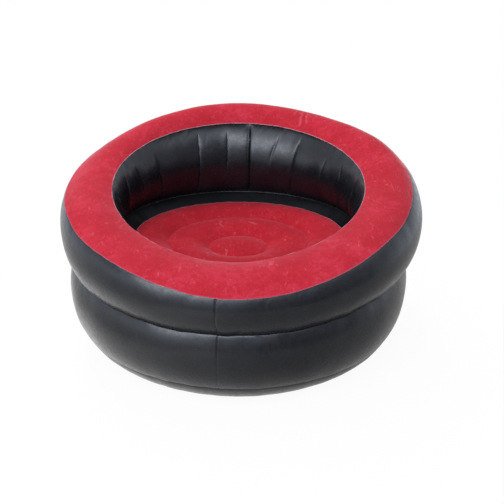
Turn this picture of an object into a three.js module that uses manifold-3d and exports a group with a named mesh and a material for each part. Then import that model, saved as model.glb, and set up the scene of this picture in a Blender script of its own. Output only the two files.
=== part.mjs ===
// Inflatable tub chair: an air-filled base with a round seat, and a wedge-shaped air ring on top of it.
// Every panel is a sheet of film with its own thickness. Panels meet at welded seams, where their
// edges turn inwards as weld fins that lie side by side inside the air chambers.
// Units are millimetres. +Z is up, the front faces -Y, and the origin is on the floor under the centre.

import * as THREE from 'three';
import { mergeVertices } from 'three/addons/utils/BufferGeometryUtils.js';
import Module from 'manifold-3d';

const wasm = await Module();
wasm.setup();

// Plan of the chair, from the outside inwards
const overallRadius = 425;
const upperWallSwell = 21.3;
const lowerWallSwell = 7.3;
const creaseInset = 7.7;
const topPanelWidth = 105.2;
const crownShift = 2.9;
const innerWallLean = 13.3;
const borderWidth = 28.2;
const outerChannelShare = .677;
const innerChannelShare = .2868;
const baseTaper = 15.2;
const undersideWidth = 93.5;
const ringTieInset = 14.8;
const ringTieFootInset = 10;
const outerSeamRadius = overallRadius - upperWallSwell;
const innerSeamRadius = outerSeamRadius - topPanelWidth;
const crownRadius = innerSeamRadius + topPanelWidth / 2 + crownShift;
const grooveRadius = innerSeamRadius - innerWallLean;
const ringTieRadius = grooveRadius + ringTieInset;
const seatRadius = grooveRadius - borderWidth;
const creaseRadius = outerSeamRadius - creaseInset;
const baseSeamRadius = outerSeamRadius - baseTaper;
const contactRadius = baseSeamRadius - undersideWidth;
const ringTieFootRadius = contactRadius - ringTieFootInset;
const columns = 36;

// Film, flocking and welds
const film = 0.5;
const flockedFilm = 0.9;
const weldGap = 0.3;
const weldFin = 7;
const lapOverlap = 10;
const lapStep = 2;
const outerLapShare = 266.6 / 360;
const innerLapShare = 86 / 360;

// Lines that run round the chair: radius, and height at the front, the sides and the back
const creaseLine = { radius: creaseRadius, front: 193.5, side: 253, back: 320, droop: 0 };
const outerSeamLine = { radius: outerSeamRadius, front: 273.5, side: 404.5, back: 505, droop: 8.9 };
const innerSeamLine = { radius: innerSeamRadius, front: 309, side: 402, back: 482.4, droop: 0 };
const crownLine = { radius: crownRadius, front: 303, side: 422, back: 529.2, droop: 3 };
const grooveLine = { radius: grooveRadius, front: 287.4, side: 287.4, back: 287.4, droop: 0 };
const seatEdgeLine = { radius: seatRadius, front: 264, side: 264, back: 264, droop: 0 };
const baseSeamLine = { radius: baseSeamRadius, front: 70, side: 70, back: 70, droop: 0 };

// How far the air swells each panel
const innerWallSwellShare = 0.17;
const borderSwell = 3;
const undersideSwell = { outwards: 10, down: 9 };
const arcFullnessShare = 0.8;
const arcSteps = 6;
const shortArcSteps = 3;

// Seat and base
const outerChannel = { radius: seatRadius * outerChannelShare, height: 242.7 };
const innerChannel = { radius: seatRadius * innerChannelShare, height: 224.7 };
const outerZoneCrown = 11;
const middleZoneCrown = 10;
const centreCrown = 9;
const zoneSteps = 4;
const ventRadius = 20;
const ventCount = 4;

// Radial baffles inside the upper ring
const baffleCount = 9;
const baffleStartShare = 3 / 4;
const baffleReachShare = 1 / 3;

// Valves: one for the upper ring and one for the base, both at the back
const valveBore = 5;
const valveNeck = 7.5;
const valveLip = { radius: 13, thickness: 1.6 };
const valveFlange = { radius: 18, thickness: 1.2, drop: 2.8 };
const valveStemLength = 22;
const plugShank = { length: 14, lead: 2, leadTaper: 1 };
const plugHead = { radius: 9, thickness: 1.6 };
const plugKnob = { radius: 4, height: 1.8 };
const plugClearance = 0.3;
const flap = { overlap: 1.5, thickness: 1 };
const tether = { width: 4, thickness: 1, reach: 7 };
const valveSides = 16;
const upperValveStep = 5;
const baseValveStep = 3;

// Colours and finish
const flockedRed = { color: 0xb42c3d, roughness: 0.95, metalness: 0 };
const blackFilm = { color: 0x34373a, roughness: 0.42, metalness: 0 };
const innerFilm = { color: 0x6b6f72, roughness: 0.5, metalness: 0 };
const valvePlastic = { color: 0x26282a, roughness: 0.55, metalness: 0 };

const chair = new THREE.Group();

// Plane geometry of the cross-section, in radius and height

const point = (r, z) => ({ r, z });
const add = (a, b, scale = 1) => point(a.r + b.r * scale, a.z + b.z * scale);
const mix = (a, b, share) => add(a, add(b, a, -1), share);
const middle = (a, b) => mix(a, b, 1 / 2);
const unit = (a) => point(a.r / Math.hypot(a.r, a.z), a.z / Math.hypot(a.r, a.z));
const turnLeft = (a) => point(-a.z, a.r);
const turnRight = (a) => point(a.z, -a.r);

// A line round the chair passes through its front, side and back heights. The droop lifts it between
// the front and the sides, and lowers it as much between the sides and the back.
function lineAt(line, angle) {
  const mean = (line.front + line.back + 2 * line.side) / 4;
  const slope = (line.back - line.front) / 2;
  const saddle = (2 * line.side - line.front - line.back) / 4;
  const fullness = line.droop * (Math.sin(angle) + Math.sin(3 * angle));
  return point(line.radius, mean + slope * Math.sin(angle) + saddle * Math.cos(2 * angle) - fullness);
}

// An air-filled curve from one point to another, through a peak half way along
function swell(start, end, peak, steps) {
  const rise = add(peak, middle(start, end), -1);
  return Array.from({ length: steps + 1 }, (_, i) => {
    const share = i / steps;
    return add(mix(start, end, share), rise, (4 * share * (1 - share)) ** arcFullnessShare);
  });
}

// A line moved sideways to its left by a distance, with mitred corners
function offsetLine(line, distance) {
  const sides = line.slice(1).map((end, i) => turnLeft(unit(add(end, line[i], -1))));
  return line.map((here, i) => {
    const before = sides[Math.max(i - 1, 0)];
    const after = sides[Math.min(i, sides.length - 1)];
    const normal = unit(add(before, after));
    return add(here, normal, distance / (normal.r * after.r + normal.z * after.z));
  });
}

// Seams: where each line runs, which way its weld fins point, and where each film's own edge lies

function seamsAt(angle) {
  const crease = lineAt(creaseLine, angle);
  const groove = lineAt(grooveLine, angle);
  const outer = lineAt(outerSeamLine, angle);
  const inner = lineAt(innerSeamLine, angle);
  const base = lineAt(baseSeamLine, angle);
  const seat = lineAt(seatEdgeLine, angle);
  const upperCore = middle(middle(crease, outer), middle(groove, inner));
  const lowerCore = middle(middle(crease, base), middle(groove, point(ringTieRadius, 0)));
  const inwards = unit(add(groove, crease, -1));
  return {
    crease: { at: crease, fin: inwards, up: turnRight(inwards) },
    groove: { at: groove, fin: add(point(0, 0), inwards, -1), up: turnRight(inwards) },
    outer: { at: outer, fin: unit(add(upperCore, outer, -1)), up: turnRight(unit(add(upperCore, outer, -1))) },
    inner: { at: inner, fin: unit(add(upperCore, inner, -1)), up: turnLeft(unit(add(upperCore, inner, -1))) },
    base: { at: base, fin: unit(add(lowerCore, base, -1)), up: turnRight(unit(add(lowerCore, base, -1))) },
    seat: { at: seat, fin: point(0, -1), up: point(1, 0) },
  };
}

const edge = (seam, shift) => add(seam.at, seam.up, shift);
const finTip = (seam, shift) => add(edge(seam, shift), seam.fin, weldFin);
const threeLayer = film + weldGap;
const mixedLayer = (film + flockedFilm) / 4 + weldGap / 2;
const plainLayer = (film + weldGap) / 2;

// Cross-section lines of the panels. A ring's line has the outside of the chair on its left, and a
// disc's line runs outwards from the centre.

function upperOuterLine(angle) {
  const { crease, outer } = seamsAt(angle);
  const top = edge(outer, -mixedLayer);
  const bottom = edge(crease, threeLayer);
  const peak = point(overallRadius - film / 2, middle(top, bottom).z);
  return [finTip(outer, -mixedLayer), ...swell(top, bottom, peak, arcSteps), finTip(crease, threeLayer)];
}

function lowerOuterLine(angle) {
  const { crease, base } = seamsAt(angle);
  const top = edge(crease, -threeLayer);
  const bottom = edge(base, plainLayer);
  const peak = point(outerSeamRadius + lowerWallSwell - film / 2, middle(top, bottom).z);
  return [finTip(crease, -threeLayer), ...swell(top, bottom, peak, arcSteps), finTip(base, plainLayer)];
}

function topPanelLine(angle) {
  const { inner, outer } = seamsAt(angle);
  const start = edge(inner, mixedLayer);
  const end = edge(outer, mixedLayer);
  const crown = lineAt(crownLine, angle);
  return [finTip(inner, mixedLayer), ...swell(start, end, crown, arcSteps), finTip(outer, mixedLayer)];
}

function innerWallLine(angle) {
  const { inner, groove } = seamsAt(angle);
  const bottom = edge(groove, threeLayer);
  const top = edge(inner, -mixedLayer);
  const chord = add(top, bottom, -1);
  const inwards = add(middle(bottom, top), point(-Math.hypot(chord.r, chord.z), 0), innerWallSwellShare);
  return [finTip(groove, threeLayer), ...swell(bottom, top, inwards, arcSteps), finTip(inner, -mixedLayer)];
}

// Where the ring tie meets the partition
function ringTieWeld(crease, groove) {
  return mix(groove.at, crease.at, (ringTieRadius - groove.at.r) / (crease.at.r - groove.at.r));
}

function partitionLine(angle) {
  const { crease, groove } = seamsAt(angle);
  const weld = ringTieWeld(crease, groove);
  const weldEnd = add(weld, groove.fin, weldFin);
  return [groove.at, finTip(groove, 0), weld, weldEnd, finTip(crease, 0), crease.at];
}

function seatBorderLine(angle) {
  const { seat, groove } = seamsAt(angle);
  const start = edge(seat, mixedLayer);
  const end = edge(groove, -threeLayer);
  const peak = add(middle(start, end), point(0, borderSwell));
  return [finTip(seat, mixedLayer), ...swell(start, end, peak, shortArcSteps), finTip(groove, -threeLayer)];
}

function seatPanelLine(angle) {
  const { seat } = seamsAt(angle);
  const channels = [innerChannel, outerChannel].map((channel) => point(channel.radius, channel.height));
  const rim = edge(seat, -mixedLayer);
  const centre = point(0, innerChannel.height + centreCrown);
  const shoulder = point(innerChannel.radius / 2, innerChannel.height + centreCrown * 3 / 4);
  const zone = (start, end, crown) =>
    swell(start, end, add(middle(start, end), point(0, crown)), zoneSteps).slice(1);
  return [
    centre,
    shoulder,
    channels[0],
    ...zone(channels[0], channels[1], middleZoneCrown),
    ...zone(channels[1], rim, outerZoneCrown),
    finTip(seat, -mixedLayer),
  ];
}

function undersideLine(angle) {
  const { base } = seamsAt(angle);
  const flat = point(contactRadius, film / 2);
  const end = edge(base, -plainLayer);
  const peak = add(middle(flat, end), point(undersideSwell.outwards, -undersideSwell.down));
  return [point(0, film / 2), ...swell(flat, end, peak, shortArcSteps), finTip(base, -plainLayer)];
}

const floorWeldHeight = film + weldGap + film / 2;

function seatTieLine(channel) {
  const top = channel.height - (flockedFilm + film) / 2 - weldGap;
  return () => [
    point(channel.radius + weldFin, floorWeldHeight),
    point(channel.radius, floorWeldHeight),
    point(channel.radius, top),
    point(channel.radius + weldFin, top),
  ];
}

function ringTieLine(angle) {
  const { crease, groove } = seamsAt(angle);
  const underside = add(ringTieWeld(crease, groove), crease.up, -threeLayer);
  return [
    point(ringTieFootRadius + weldFin, floorWeldHeight),
    point(ringTieFootRadius, floorWeldHeight),
    underside,
    add(underside, groove.fin, weldFin),
  ];
}

// Solids

function solidGeometry(positions, triangles) {
  const geometry = new THREE.BufferGeometry();
  geometry.setAttribute('position', new THREE.Float32BufferAttribute(positions, 3));
  geometry.setIndex(triangles);
  geometry.computeVertexNormals();
  return geometry;
}

// Four corners in turn make two triangles, split along the shorter diagonal, so that the faces of two
// sheets that lie side by side are split alike
function addQuad(triangles, positions, a, b, c, d) {
  const corner = (index) => new THREE.Vector3().fromArray(positions, index * 3);
  if (corner(a).distanceTo(corner(c)) < corner(b).distanceTo(corner(d))) {
    triangles.push(a, b, c, a, c, d);
  } else {
    triangles.push(a, b, d, b, c, d);
  }
}

// A sheet of film swept round the chair. Each column is one cross-section: its outer face, then its
// inner face back again. A closed sheet joins up with itself, and an open one has two end faces.
function sheetGeometry(sections, closed) {
  const rows = sections[0].length;
  const positions = sections.flat(2);
  const triangles = [];
  const quad = (a, b, c, d) => addQuad(triangles, positions, a, b, c, d);
  const spans = closed ? sections.length : sections.length - 1;
  for (let i = 0; i < spans; i += 1) {
    const here = i * rows;
    const next = ((i + 1) % sections.length) * rows;
    for (let j = 0; j < rows; j += 1) {
      const up = (j + 1) % rows;
      quad(here + j, here + up, next + up, next + j);
    }
  }
  if (!closed) {
    const last = (sections.length - 1) * rows;
    for (let j = 0; j < rows / 2 - 1; j += 1) {
      quad(j, rows - 1 - j, rows - 2 - j, j + 1);
      quad(last + j, last + j + 1, last + rows - 2 - j, last + rows - 1 - j);
    }
  }
  return solidGeometry(positions, triangles);
}

const placeAt = (section, angle) => section.map(({ r, z }) => [r * Math.cos(angle), r * Math.sin(angle), z]);

function thicken(line, thickness, shift) {
  const outside = offsetLine(line, shift + thickness / 2);
  const inside = offsetLine(line, shift - thickness / 2);
  return [...outside, ...inside.reverse()];
}

const columnAngle = (index) => index * 2 * Math.PI / columns;

function closedSheet(lineOf, thickness) {
  const angles = Array.from({ length: columns }, (_, i) => columnAngle(i));
  return sheetGeometry(angles.map((angle) => placeAt(thicken(lineOf(angle), thickness, 0), angle)), true);
}

const lapTolerance = 1e-9;

// Between two columns the film is flat, so a section there is mixed from its two neighbours
function flatSection(lineOf, thickness, shift, angle) {
  const index = Math.floor(angle / columnAngle(1) + lapTolerance);
  const share = angle / columnAngle(1) - index;
  const [before, after] = [columnAngle(index), columnAngle(index + 1)]
    .map((side) => placeAt(thicken(lineOf(side), thickness, shift), side));
  return before.map((from, i) => from.map((value, axis) => value + (after[i][axis] - value) * share));
}

// A wall is one long strip of film. Its last stretch steps inwards and tucks under its own start.
function lappedSheet(lineOf, thickness, lapAngle, radius) {
  const overlap = lapOverlap / radius;
  const step = lapStep / radius;
  const end = lapAngle + 2 * Math.PI;
  const tuck = -(thickness + weldGap);
  const sections = [flatSection(lineOf, thickness, 0, lapAngle)];
  for (let i = Math.floor(lapAngle / columnAngle(1)) + 1; columnAngle(i) < end - step; i += 1) {
    sections.push(flatSection(lineOf, thickness, 0, columnAngle(i)));
  }
  sections.push(flatSection(lineOf, thickness, 0, end - step));
  sections.push(flatSection(lineOf, thickness, tuck, end));
  sections.push(flatSection(lineOf, thickness, tuck, end + overlap));
  return sheetGeometry(sections, false);
}

// A sheet that reaches the centre closes on one point above and one below. Its line starts at the centre.
function discSheet(lineOf, thickness) {
  const outline = (angle) => thicken(lineOf(angle), thickness, 0);
  const rows = outline(0).length;
  const positions = [];
  const triangles = [];
  const quad = (a, b, c, d) => addQuad(triangles, positions, a, b, c, d);
  const ring = rows - 2;
  const [upper, lower] = [outline(0)[0], outline(0)[rows - 1]];
  for (let i = 0; i < columns; i += 1) {
    placeAt(outline(columnAngle(i)).slice(1, -1), columnAngle(i)).forEach((vertex) => positions.push(...vertex));
  }
  positions.push(0, 0, upper.z, 0, 0, lower.z);
  const top = columns * ring;
  for (let i = 0; i < columns; i += 1) {
    const here = i * ring;
    const next = ((i + 1) % columns) * ring;
    for (let j = 0; j < ring - 1; j += 1) {
      quad(here + j, here + j + 1, next + j + 1, next + j);
    }
    triangles.push(top, here, next);
    triangles.push(top + 1, next + ring - 1, here + ring - 1);
  }
  return solidGeometry(positions, triangles);
}

// Cutting

function toSolid(geometry) {
  const bare = geometry.clone();
  bare.deleteAttribute('normal');
  if (bare.getAttribute('uv')) bare.deleteAttribute('uv');
  const merged = mergeVertices(bare);
  return new wasm.Manifold(new wasm.Mesh({
    numProp: 3,
    vertProperties: new Float32Array(merged.getAttribute('position').array),
    triVerts: new Uint32Array(merged.index.array),
  }));
}

function cut(geometry, cutters) {
  const rest = cutters.reduce((solid, cutter) => solid.subtract(toSolid(cutter)), toSolid(geometry));
  const mesh = rest.getMesh();
  return solidGeometry(Array.from(mesh.vertProperties), Array.from(mesh.triVerts));
}

function addPiece(parent, name, geometry, finish) {
  const mesh = new THREE.Mesh(geometry, new THREE.MeshStandardMaterial(finish));
  mesh.name = name;
  parent.add(mesh);
}

// Where a valve sits: at the back, some steps down a wall from its top seam, square to the film
const backAngle = Math.PI / 2;

function valveSeatOn(lineOf, step) {
  const face = offsetLine(lineOf(backAngle), film / 2);
  const index = 1 + step;
  const along = unit(add(face[index + 1], face[index - 1], -1));
  const outwards = turnLeft(along);
  const seat = new THREE.Group();
  seat.position.set(0, face[index].r, face[index].z);
  seat.rotation.x = Math.atan2(outwards.z, outwards.r);
  seat.updateMatrix();
  return seat;
}

const upperValve = valveSeatOn(upperOuterLine, upperValveStep);
const baseValve = valveSeatOn(lowerOuterLine, baseValveStep);

function valveHole(seat) {
  const hole = new THREE.CylinderGeometry(valveNeck + weldGap, valveNeck + weldGap, valveStemLength, valveSides);
  return hole.applyMatrix4(seat.matrix);
}

// Film panels

function buildPanels() {
  const outerLap = 2 * Math.PI * outerLapShare;
  const innerLap = 2 * Math.PI * innerLapShare;
  const upperOuter = lappedSheet(upperOuterLine, film, outerLap, creaseLine.radius);
  const lowerOuter = lappedSheet(lowerOuterLine, film, outerLap, creaseLine.radius);
  addPiece(chair, 'top_panel', closedSheet(topPanelLine, flockedFilm), flockedRed);
  addPiece(chair, 'upper_outer_wall', cut(upperOuter, [valveHole(upperValve)]), blackFilm);
  addPiece(chair, 'upper_inner_wall', lappedSheet(innerWallLine, film, innerLap, grooveLine.radius), blackFilm);
  addPiece(chair, 'ring_partition', closedSheet(partitionLine, film), innerFilm);
  addPiece(chair, 'lower_outer_wall', cut(lowerOuter, [valveHole(baseValve)]), blackFilm);
  addPiece(chair, 'seat_border', closedSheet(seatBorderLine, film), blackFilm);
  addPiece(chair, 'seat_panel', discSheet(seatPanelLine, flockedFilm), flockedRed);
  addPiece(chair, 'bottom_panel', discSheet(undersideLine, film), blackFilm);
}

// Tie bands hold the seat down to the bottom panel, with vents that let the air through

function ventHoles(radius, height) {
  return Array.from({ length: ventCount }, (_, i) => {
    const hole = new THREE.CylinderGeometry(ventRadius, ventRadius, ventRadius, valveSides);
    hole.translate(0, radius, height);
    return hole.rotateZ((i + 1 / 2) * 2 * Math.PI / ventCount);
  });
}

function buildTieBands() {
  const bands = [
    ['seat_tie_inner', seatTieLine(innerChannel), innerChannel.radius, innerChannel.height],
    ['seat_tie_outer', seatTieLine(outerChannel), outerChannel.radius, outerChannel.height],
    ['ring_tie', ringTieLine, ringTieRadius, grooveLine.side],
  ];
  bands.forEach(([name, lineOf, radius, height]) => {
    addPiece(chair, name, cut(closedSheet(lineOf, film), ventHoles(radius, height / 2)), innerFilm);
  });
}

// Radial baffles hold the upper ring's inner and outer walls together, with air passing above and below

function baffleGeometry(angle) {
  const inset = film / 2 + weldGap;
  const cutOff = Math.round(arcSteps * baffleReachShare) - 1;
  const inside = (line) => offsetLine(line, -inset).slice(1 + cutOff, -1 - cutOff);
  const outline = [...inside(upperOuterLine(angle)), ...inside(innerWallLine(angle))];
  const shape = new THREE.Shape(outline.map(({ r, z }) => new THREE.Vector2(r, z)));
  const sheet = new THREE.ExtrudeGeometry(shape, { depth: film, bevelEnabled: false });
  sheet.translate(0, 0, -film / 2);
  sheet.rotateX(Math.PI / 2);
  return sheet.rotateZ(angle);
}

function buildBaffles() {
  for (let i = 0; i < baffleCount; i += 1) {
    const angle = columnAngle(Math.round((i + baffleStartShare) * columns / baffleCount));
    addPiece(chair, `upper_baffle_${i + 1}`, baffleGeometry(angle), innerFilm);
  }
}

// Valves, drawn on their own axis: +Y points out of the chair and zero is the outside of the film

const profile = (points) => new THREE.LatheGeometry(points.map(([r, y]) => new THREE.Vector2(r, y)), valveSides);
const lipTop = weldGap + valveLip.thickness;
const flangeTop = -valveFlange.drop - film;
const flangeBottom = flangeTop - valveFlange.thickness;
const stemEnd = lipTop - valveStemLength;
const headBottom = lipTop + weldGap;
const headTop = headBottom + plugHead.thickness;

function valveSeatGeometry() {
  return profile([
    [valveBore, lipTop],
    [valveBore, stemEnd],
    [valveNeck, stemEnd],
    [valveNeck, flangeBottom],
    [valveFlange.radius, flangeBottom],
    [valveFlange.radius, flangeTop],
    [valveNeck, flangeTop],
    [valveNeck, weldGap],
    [valveLip.radius, weldGap],
    [valveLip.radius, lipTop],
    [valveBore, lipTop],
  ]);
}

function plugGeometry() {
  const shank = valveBore - plugClearance;
  const tip = headBottom - plugShank.length;
  return profile([
    [0, tip],
    [shank - plugShank.leadTaper, tip],
    [shank, tip + plugShank.lead],
    [shank, headBottom],
    [plugHead.radius, headBottom],
    [plugHead.radius, headTop],
    [plugKnob.radius, headTop],
    [plugKnob.radius, headTop + plugKnob.height],
    [0, headTop + plugKnob.height],
  ]);
}

function flapGeometry() {
  const radius = valveBore + flap.overlap;
  const top = stemEnd - weldGap;
  return profile([[0, top - flap.thickness], [radius, top - flap.thickness], [radius, top], [0, top]]);
}

// A strap that leaves the lip's rim, bends back on itself and ends at the plug's head
function tetherGeometry() {
  const lower = weldGap + (valveLip.thickness - tether.thickness) / 2;
  const upper = headBottom + (plugHead.thickness - tether.thickness) / 2;
  const start = valveLip.radius + weldGap;
  const end = plugHead.radius + weldGap;
  const turn = start + tether.reach;
  const centre = (lower + upper + tether.thickness) / 2;
  const shape = new THREE.Shape();
  shape.moveTo(start, lower);
  shape.lineTo(turn, lower);
  shape.absarc(turn, centre, centre - lower, -Math.PI / 2, Math.PI / 2, false);
  shape.lineTo(end, upper + tether.thickness);
  shape.lineTo(end, upper);
  shape.lineTo(turn, upper);
  shape.absarc(turn, centre, upper - centre, Math.PI / 2, -Math.PI / 2, true);
  shape.lineTo(start, lower + tether.thickness);
  const strap = new THREE.ExtrudeGeometry(shape, { depth: tether.width, bevelEnabled: false, curveSegments: 4 });
  return strap.translate(0, 0, -tether.width / 2);
}

function buildValve(seat, name) {
  chair.add(seat);
  addPiece(seat, `${name}_valve_seat`, valveSeatGeometry(), valvePlastic);
  addPiece(seat, `${name}_valve_plug`, plugGeometry(), valvePlastic);
  addPiece(seat, `${name}_valve_flap`, flapGeometry(), valvePlastic);
  addPiece(seat, `${name}_valve_tether`, tetherGeometry(), valvePlastic);
}

buildPanels();
buildTieBands();
buildBaffles();
buildValve(upperValve, 'upper');
buildValve(baseValve, 'base');

export default chair;
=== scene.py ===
"""Inflatable tub chair: flocked top and seat, black film walls, welded seams and two push-in valves.

Every film panel is a surface of two parameters, the angle round the chair and the share of the way
across the panel. Lengths are millimetres until a mesh is made, which is in metres.
"""

import logging
import math
from collections.abc import Iterator, Sequence
from contextlib import contextmanager
from dataclasses import dataclass, field
from enum import Enum
from typing import ClassVar

import bmesh
import bpy
import numpy as np
from mathutils import Matrix, Vector

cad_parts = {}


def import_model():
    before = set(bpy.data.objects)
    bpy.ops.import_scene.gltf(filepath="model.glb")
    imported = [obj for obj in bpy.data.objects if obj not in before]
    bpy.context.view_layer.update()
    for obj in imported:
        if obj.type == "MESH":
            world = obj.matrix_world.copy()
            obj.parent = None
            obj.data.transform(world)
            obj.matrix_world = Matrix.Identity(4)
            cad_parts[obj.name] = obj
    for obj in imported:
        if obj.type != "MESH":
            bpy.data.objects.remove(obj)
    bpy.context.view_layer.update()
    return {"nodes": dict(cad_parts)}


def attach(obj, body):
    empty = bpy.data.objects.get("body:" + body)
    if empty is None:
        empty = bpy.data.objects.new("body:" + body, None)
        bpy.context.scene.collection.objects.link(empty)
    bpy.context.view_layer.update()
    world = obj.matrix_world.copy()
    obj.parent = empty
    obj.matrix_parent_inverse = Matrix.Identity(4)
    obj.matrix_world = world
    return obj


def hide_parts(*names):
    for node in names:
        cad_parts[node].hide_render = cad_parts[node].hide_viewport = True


log = logging.getLogger("chair")

Array = np.ndarray
Material = bpy.types.Material
Socket = bpy.types.NodeSocket
Value = Socket | float | tuple[float, ...]
Range = tuple[float, float, float, float]
MM = 0.001
TURN = 2.0 * math.pi
BACK = math.radians(90)

# The chair's sizes in millimetres, as in the CAD part
OVERALL_RADIUS = 425.0
OUTER_SEAM_RADIUS = 403.7
CREASE_RADIUS = OUTER_SEAM_RADIUS - 7.7
INNER_SEAM_RADIUS = 298.5
CROWN_RADIUS = 354.0
GROOVE_RADIUS = 285.2
RING_TIE_RADIUS = 300.0
SEAT_RADIUS = 257.0
BASE_SEAM_RADIUS = 388.5
CONTACT_RADIUS = 295.0
LOWER_WALL_RADIUS = 411.0
FILM = 0.5
FLOCKED_FILM = 0.9
WELD_GAP = 0.3
FIN = 5.0

# How the blown-up chair departs from the CAD part: a lean to the right, and slackness right of the front
UPPER_WALL_SHIFT = 6.5
SLACK_ANGLE = math.radians(281)
SLACK_WIDTH = math.radians(38)
SLACK_DEPTH = 12.5

# Round the valves: half the angle where seams run plain, how far the film is plain, and the hole in it
PLAIN_ANGLE = 0.15
PLAIN_REACH = 30.0
HOLE_RADIUS = 8.5
HOLE_REACH = 13.0


# Cross-section geometry: points are (radius, height) pairs in the last axis of an array


def unit(vectors: Array) -> Array:
    """Return vectors, whose components lie in the last axis, scaled to length one."""
    return vectors / np.maximum(np.linalg.norm(vectors, axis=-1, keepdims=True), 1e-12)


def turn_left(vectors: Array) -> Array:
    """Return each (radius, height) vector turned a quarter turn to the left."""
    return np.stack((-vectors[..., 1], vectors[..., 0]), axis=-1)


def middle(first: Array, second: Array) -> Array:
    """Return the points half way between two sets of points."""
    return (first + second) / 2


def points(radius: Array, height: Array) -> Array:
    """Join radii and heights, either of which may be a single number, to (radius, height) pairs."""
    return np.stack(np.broadcast_arrays(radius, height), axis=-1).astype(float)


def smooth_step(low: float, high: float, value: Array) -> Array:
    """Return a rise from 0 to 1 between a low and a high value, as 3x² - 2x³."""
    x = np.clip((value - low) / (high - low), 0, 1)
    return x * x * (3 - 2 * x)


def bell(value: Array) -> Array:
    """Fade out to both sides of zero, as exp(-x²)."""
    return np.exp(-(value**2))


def wrapped(angle: Array) -> Array:
    """Return angles brought between minus half a turn and half a turn."""
    return (angle + math.pi) % TURN - math.pi


def harmonics(angle: Array, seed: int, low: int, high: int, size: float) -> Array:
    """Sum cosine waves round the chair: every whole number of waves, each with a random phase.

    The wave heights fall with the square root of the number, and are scaled to one mean size.

    Args:
        angle: Angles round the chair, in radians.
        seed: Start of the random draws.
        low: Fewest waves in one turn.
        high: Most waves in one turn.
        size: Root mean square of the sum.

    Returns:
        The sum at each angle.
    """
    random = np.random.default_rng(seed)
    waves = np.arange(low, high + 1)
    phase = random.uniform(0, TURN, waves.size)
    height = random.uniform(0.4, 1.0, waves.size) / np.sqrt(waves)
    height *= size / math.sqrt((height**2).sum() / 2)
    return (np.cos(np.multiply.outer(angle, waves) + phase) * height).sum(axis=-1)


@dataclass(frozen=True)
class RingLine:
    """A line round the chair, through its heights at the front, the sides and the back.

    Droop lifts it between the front and the sides. Shift moves it to the right. Wander is how far the
    welding lets it stray. Settling lists where the chair has sunk or risen: angle and width in degrees,
    and height.
    """

    wander_waves: ClassVar[tuple[int, int]] = (9, 64)

    radius: float
    front: float
    side: float
    back: float
    droop: float = 0.0
    shift: float = 0.0
    wander: float = 0.0
    seed: int = 0
    settling: tuple[tuple[float, float, float], ...] = ()

    def at(self, angle: Array) -> Array:
        """Work out the line's points.

        Height = mean + slope·sin(a) + saddle·cos(2a) - droop·(sin(a) + sin(3a)) + wander + settling.
        Radius = radius + shift·cos(a).

        Args:
            angle: Angles round the chair, in radians.

        Returns:
            One (radius, height) pair for each angle.
        """
        mean = (self.front + self.back + 2 * self.side) / 4
        slope = (self.back - self.front) / 2
        saddle = (2 * self.side - self.front - self.back) / 4
        height = mean + slope * np.sin(angle) + saddle * np.cos(2 * angle)
        height = height - self.droop * (np.sin(angle) + np.sin(3 * angle))
        if self.wander:
            calm = 1 - bell(wrapped(angle - BACK) / PLAIN_ANGLE)
            height = height + calm * harmonics(angle, self.seed, *self.wander_waves, self.wander)
        for centre, width, rise in self.settling:
            height = height + rise * bell(wrapped(angle - math.radians(centre)) / math.radians(width))
        return points(self.radius + self.shift * np.cos(angle), height)


@dataclass(frozen=True)
class Seam:
    """One weld: where it runs, which way its fin points, and which way is up across its layers."""

    at: Array
    fin: Array
    up: Array

    def edge(self, shift: float) -> Array:
        """Return the line of a film that lies this far up from the weld's middle."""
        return self.at + self.up * shift

    def tip(self, shift: float, reach: float = FIN) -> Array:
        """Return the end of that film's weld fin."""
        return self.edge(shift) + self.fin * reach


class Weld(Enum):
    """The chair's welded seams."""

    CREASE = "crease"
    GROOVE = "groove"
    OUTER = "outer"
    INNER = "inner"
    BASE = "base"
    SEAT = "seat"


# Where the blown-up chair's lines have sunk or risen: angle and width in degrees, and height
OUTER_SETTLING = (
    (188.0, 20.0, -10.0),
    (217.0, 9.0, -6.0),
    (244.0, 18.0, 6.0),
    (318.0, 16.0, 2.0),
    (331.0, 8.0, -4.0),
    (10.0, 19.0, 13.0),
)
INNER_SETTLING = ((35.0, 35.0, -4.5), (269.0, 24.0, -6.0))
CROWN_SETTLING = ((20.0, 20.0, 13.0), (68.0, 24.0, -3.0), (180.0, 24.0, -9.0))


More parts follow.
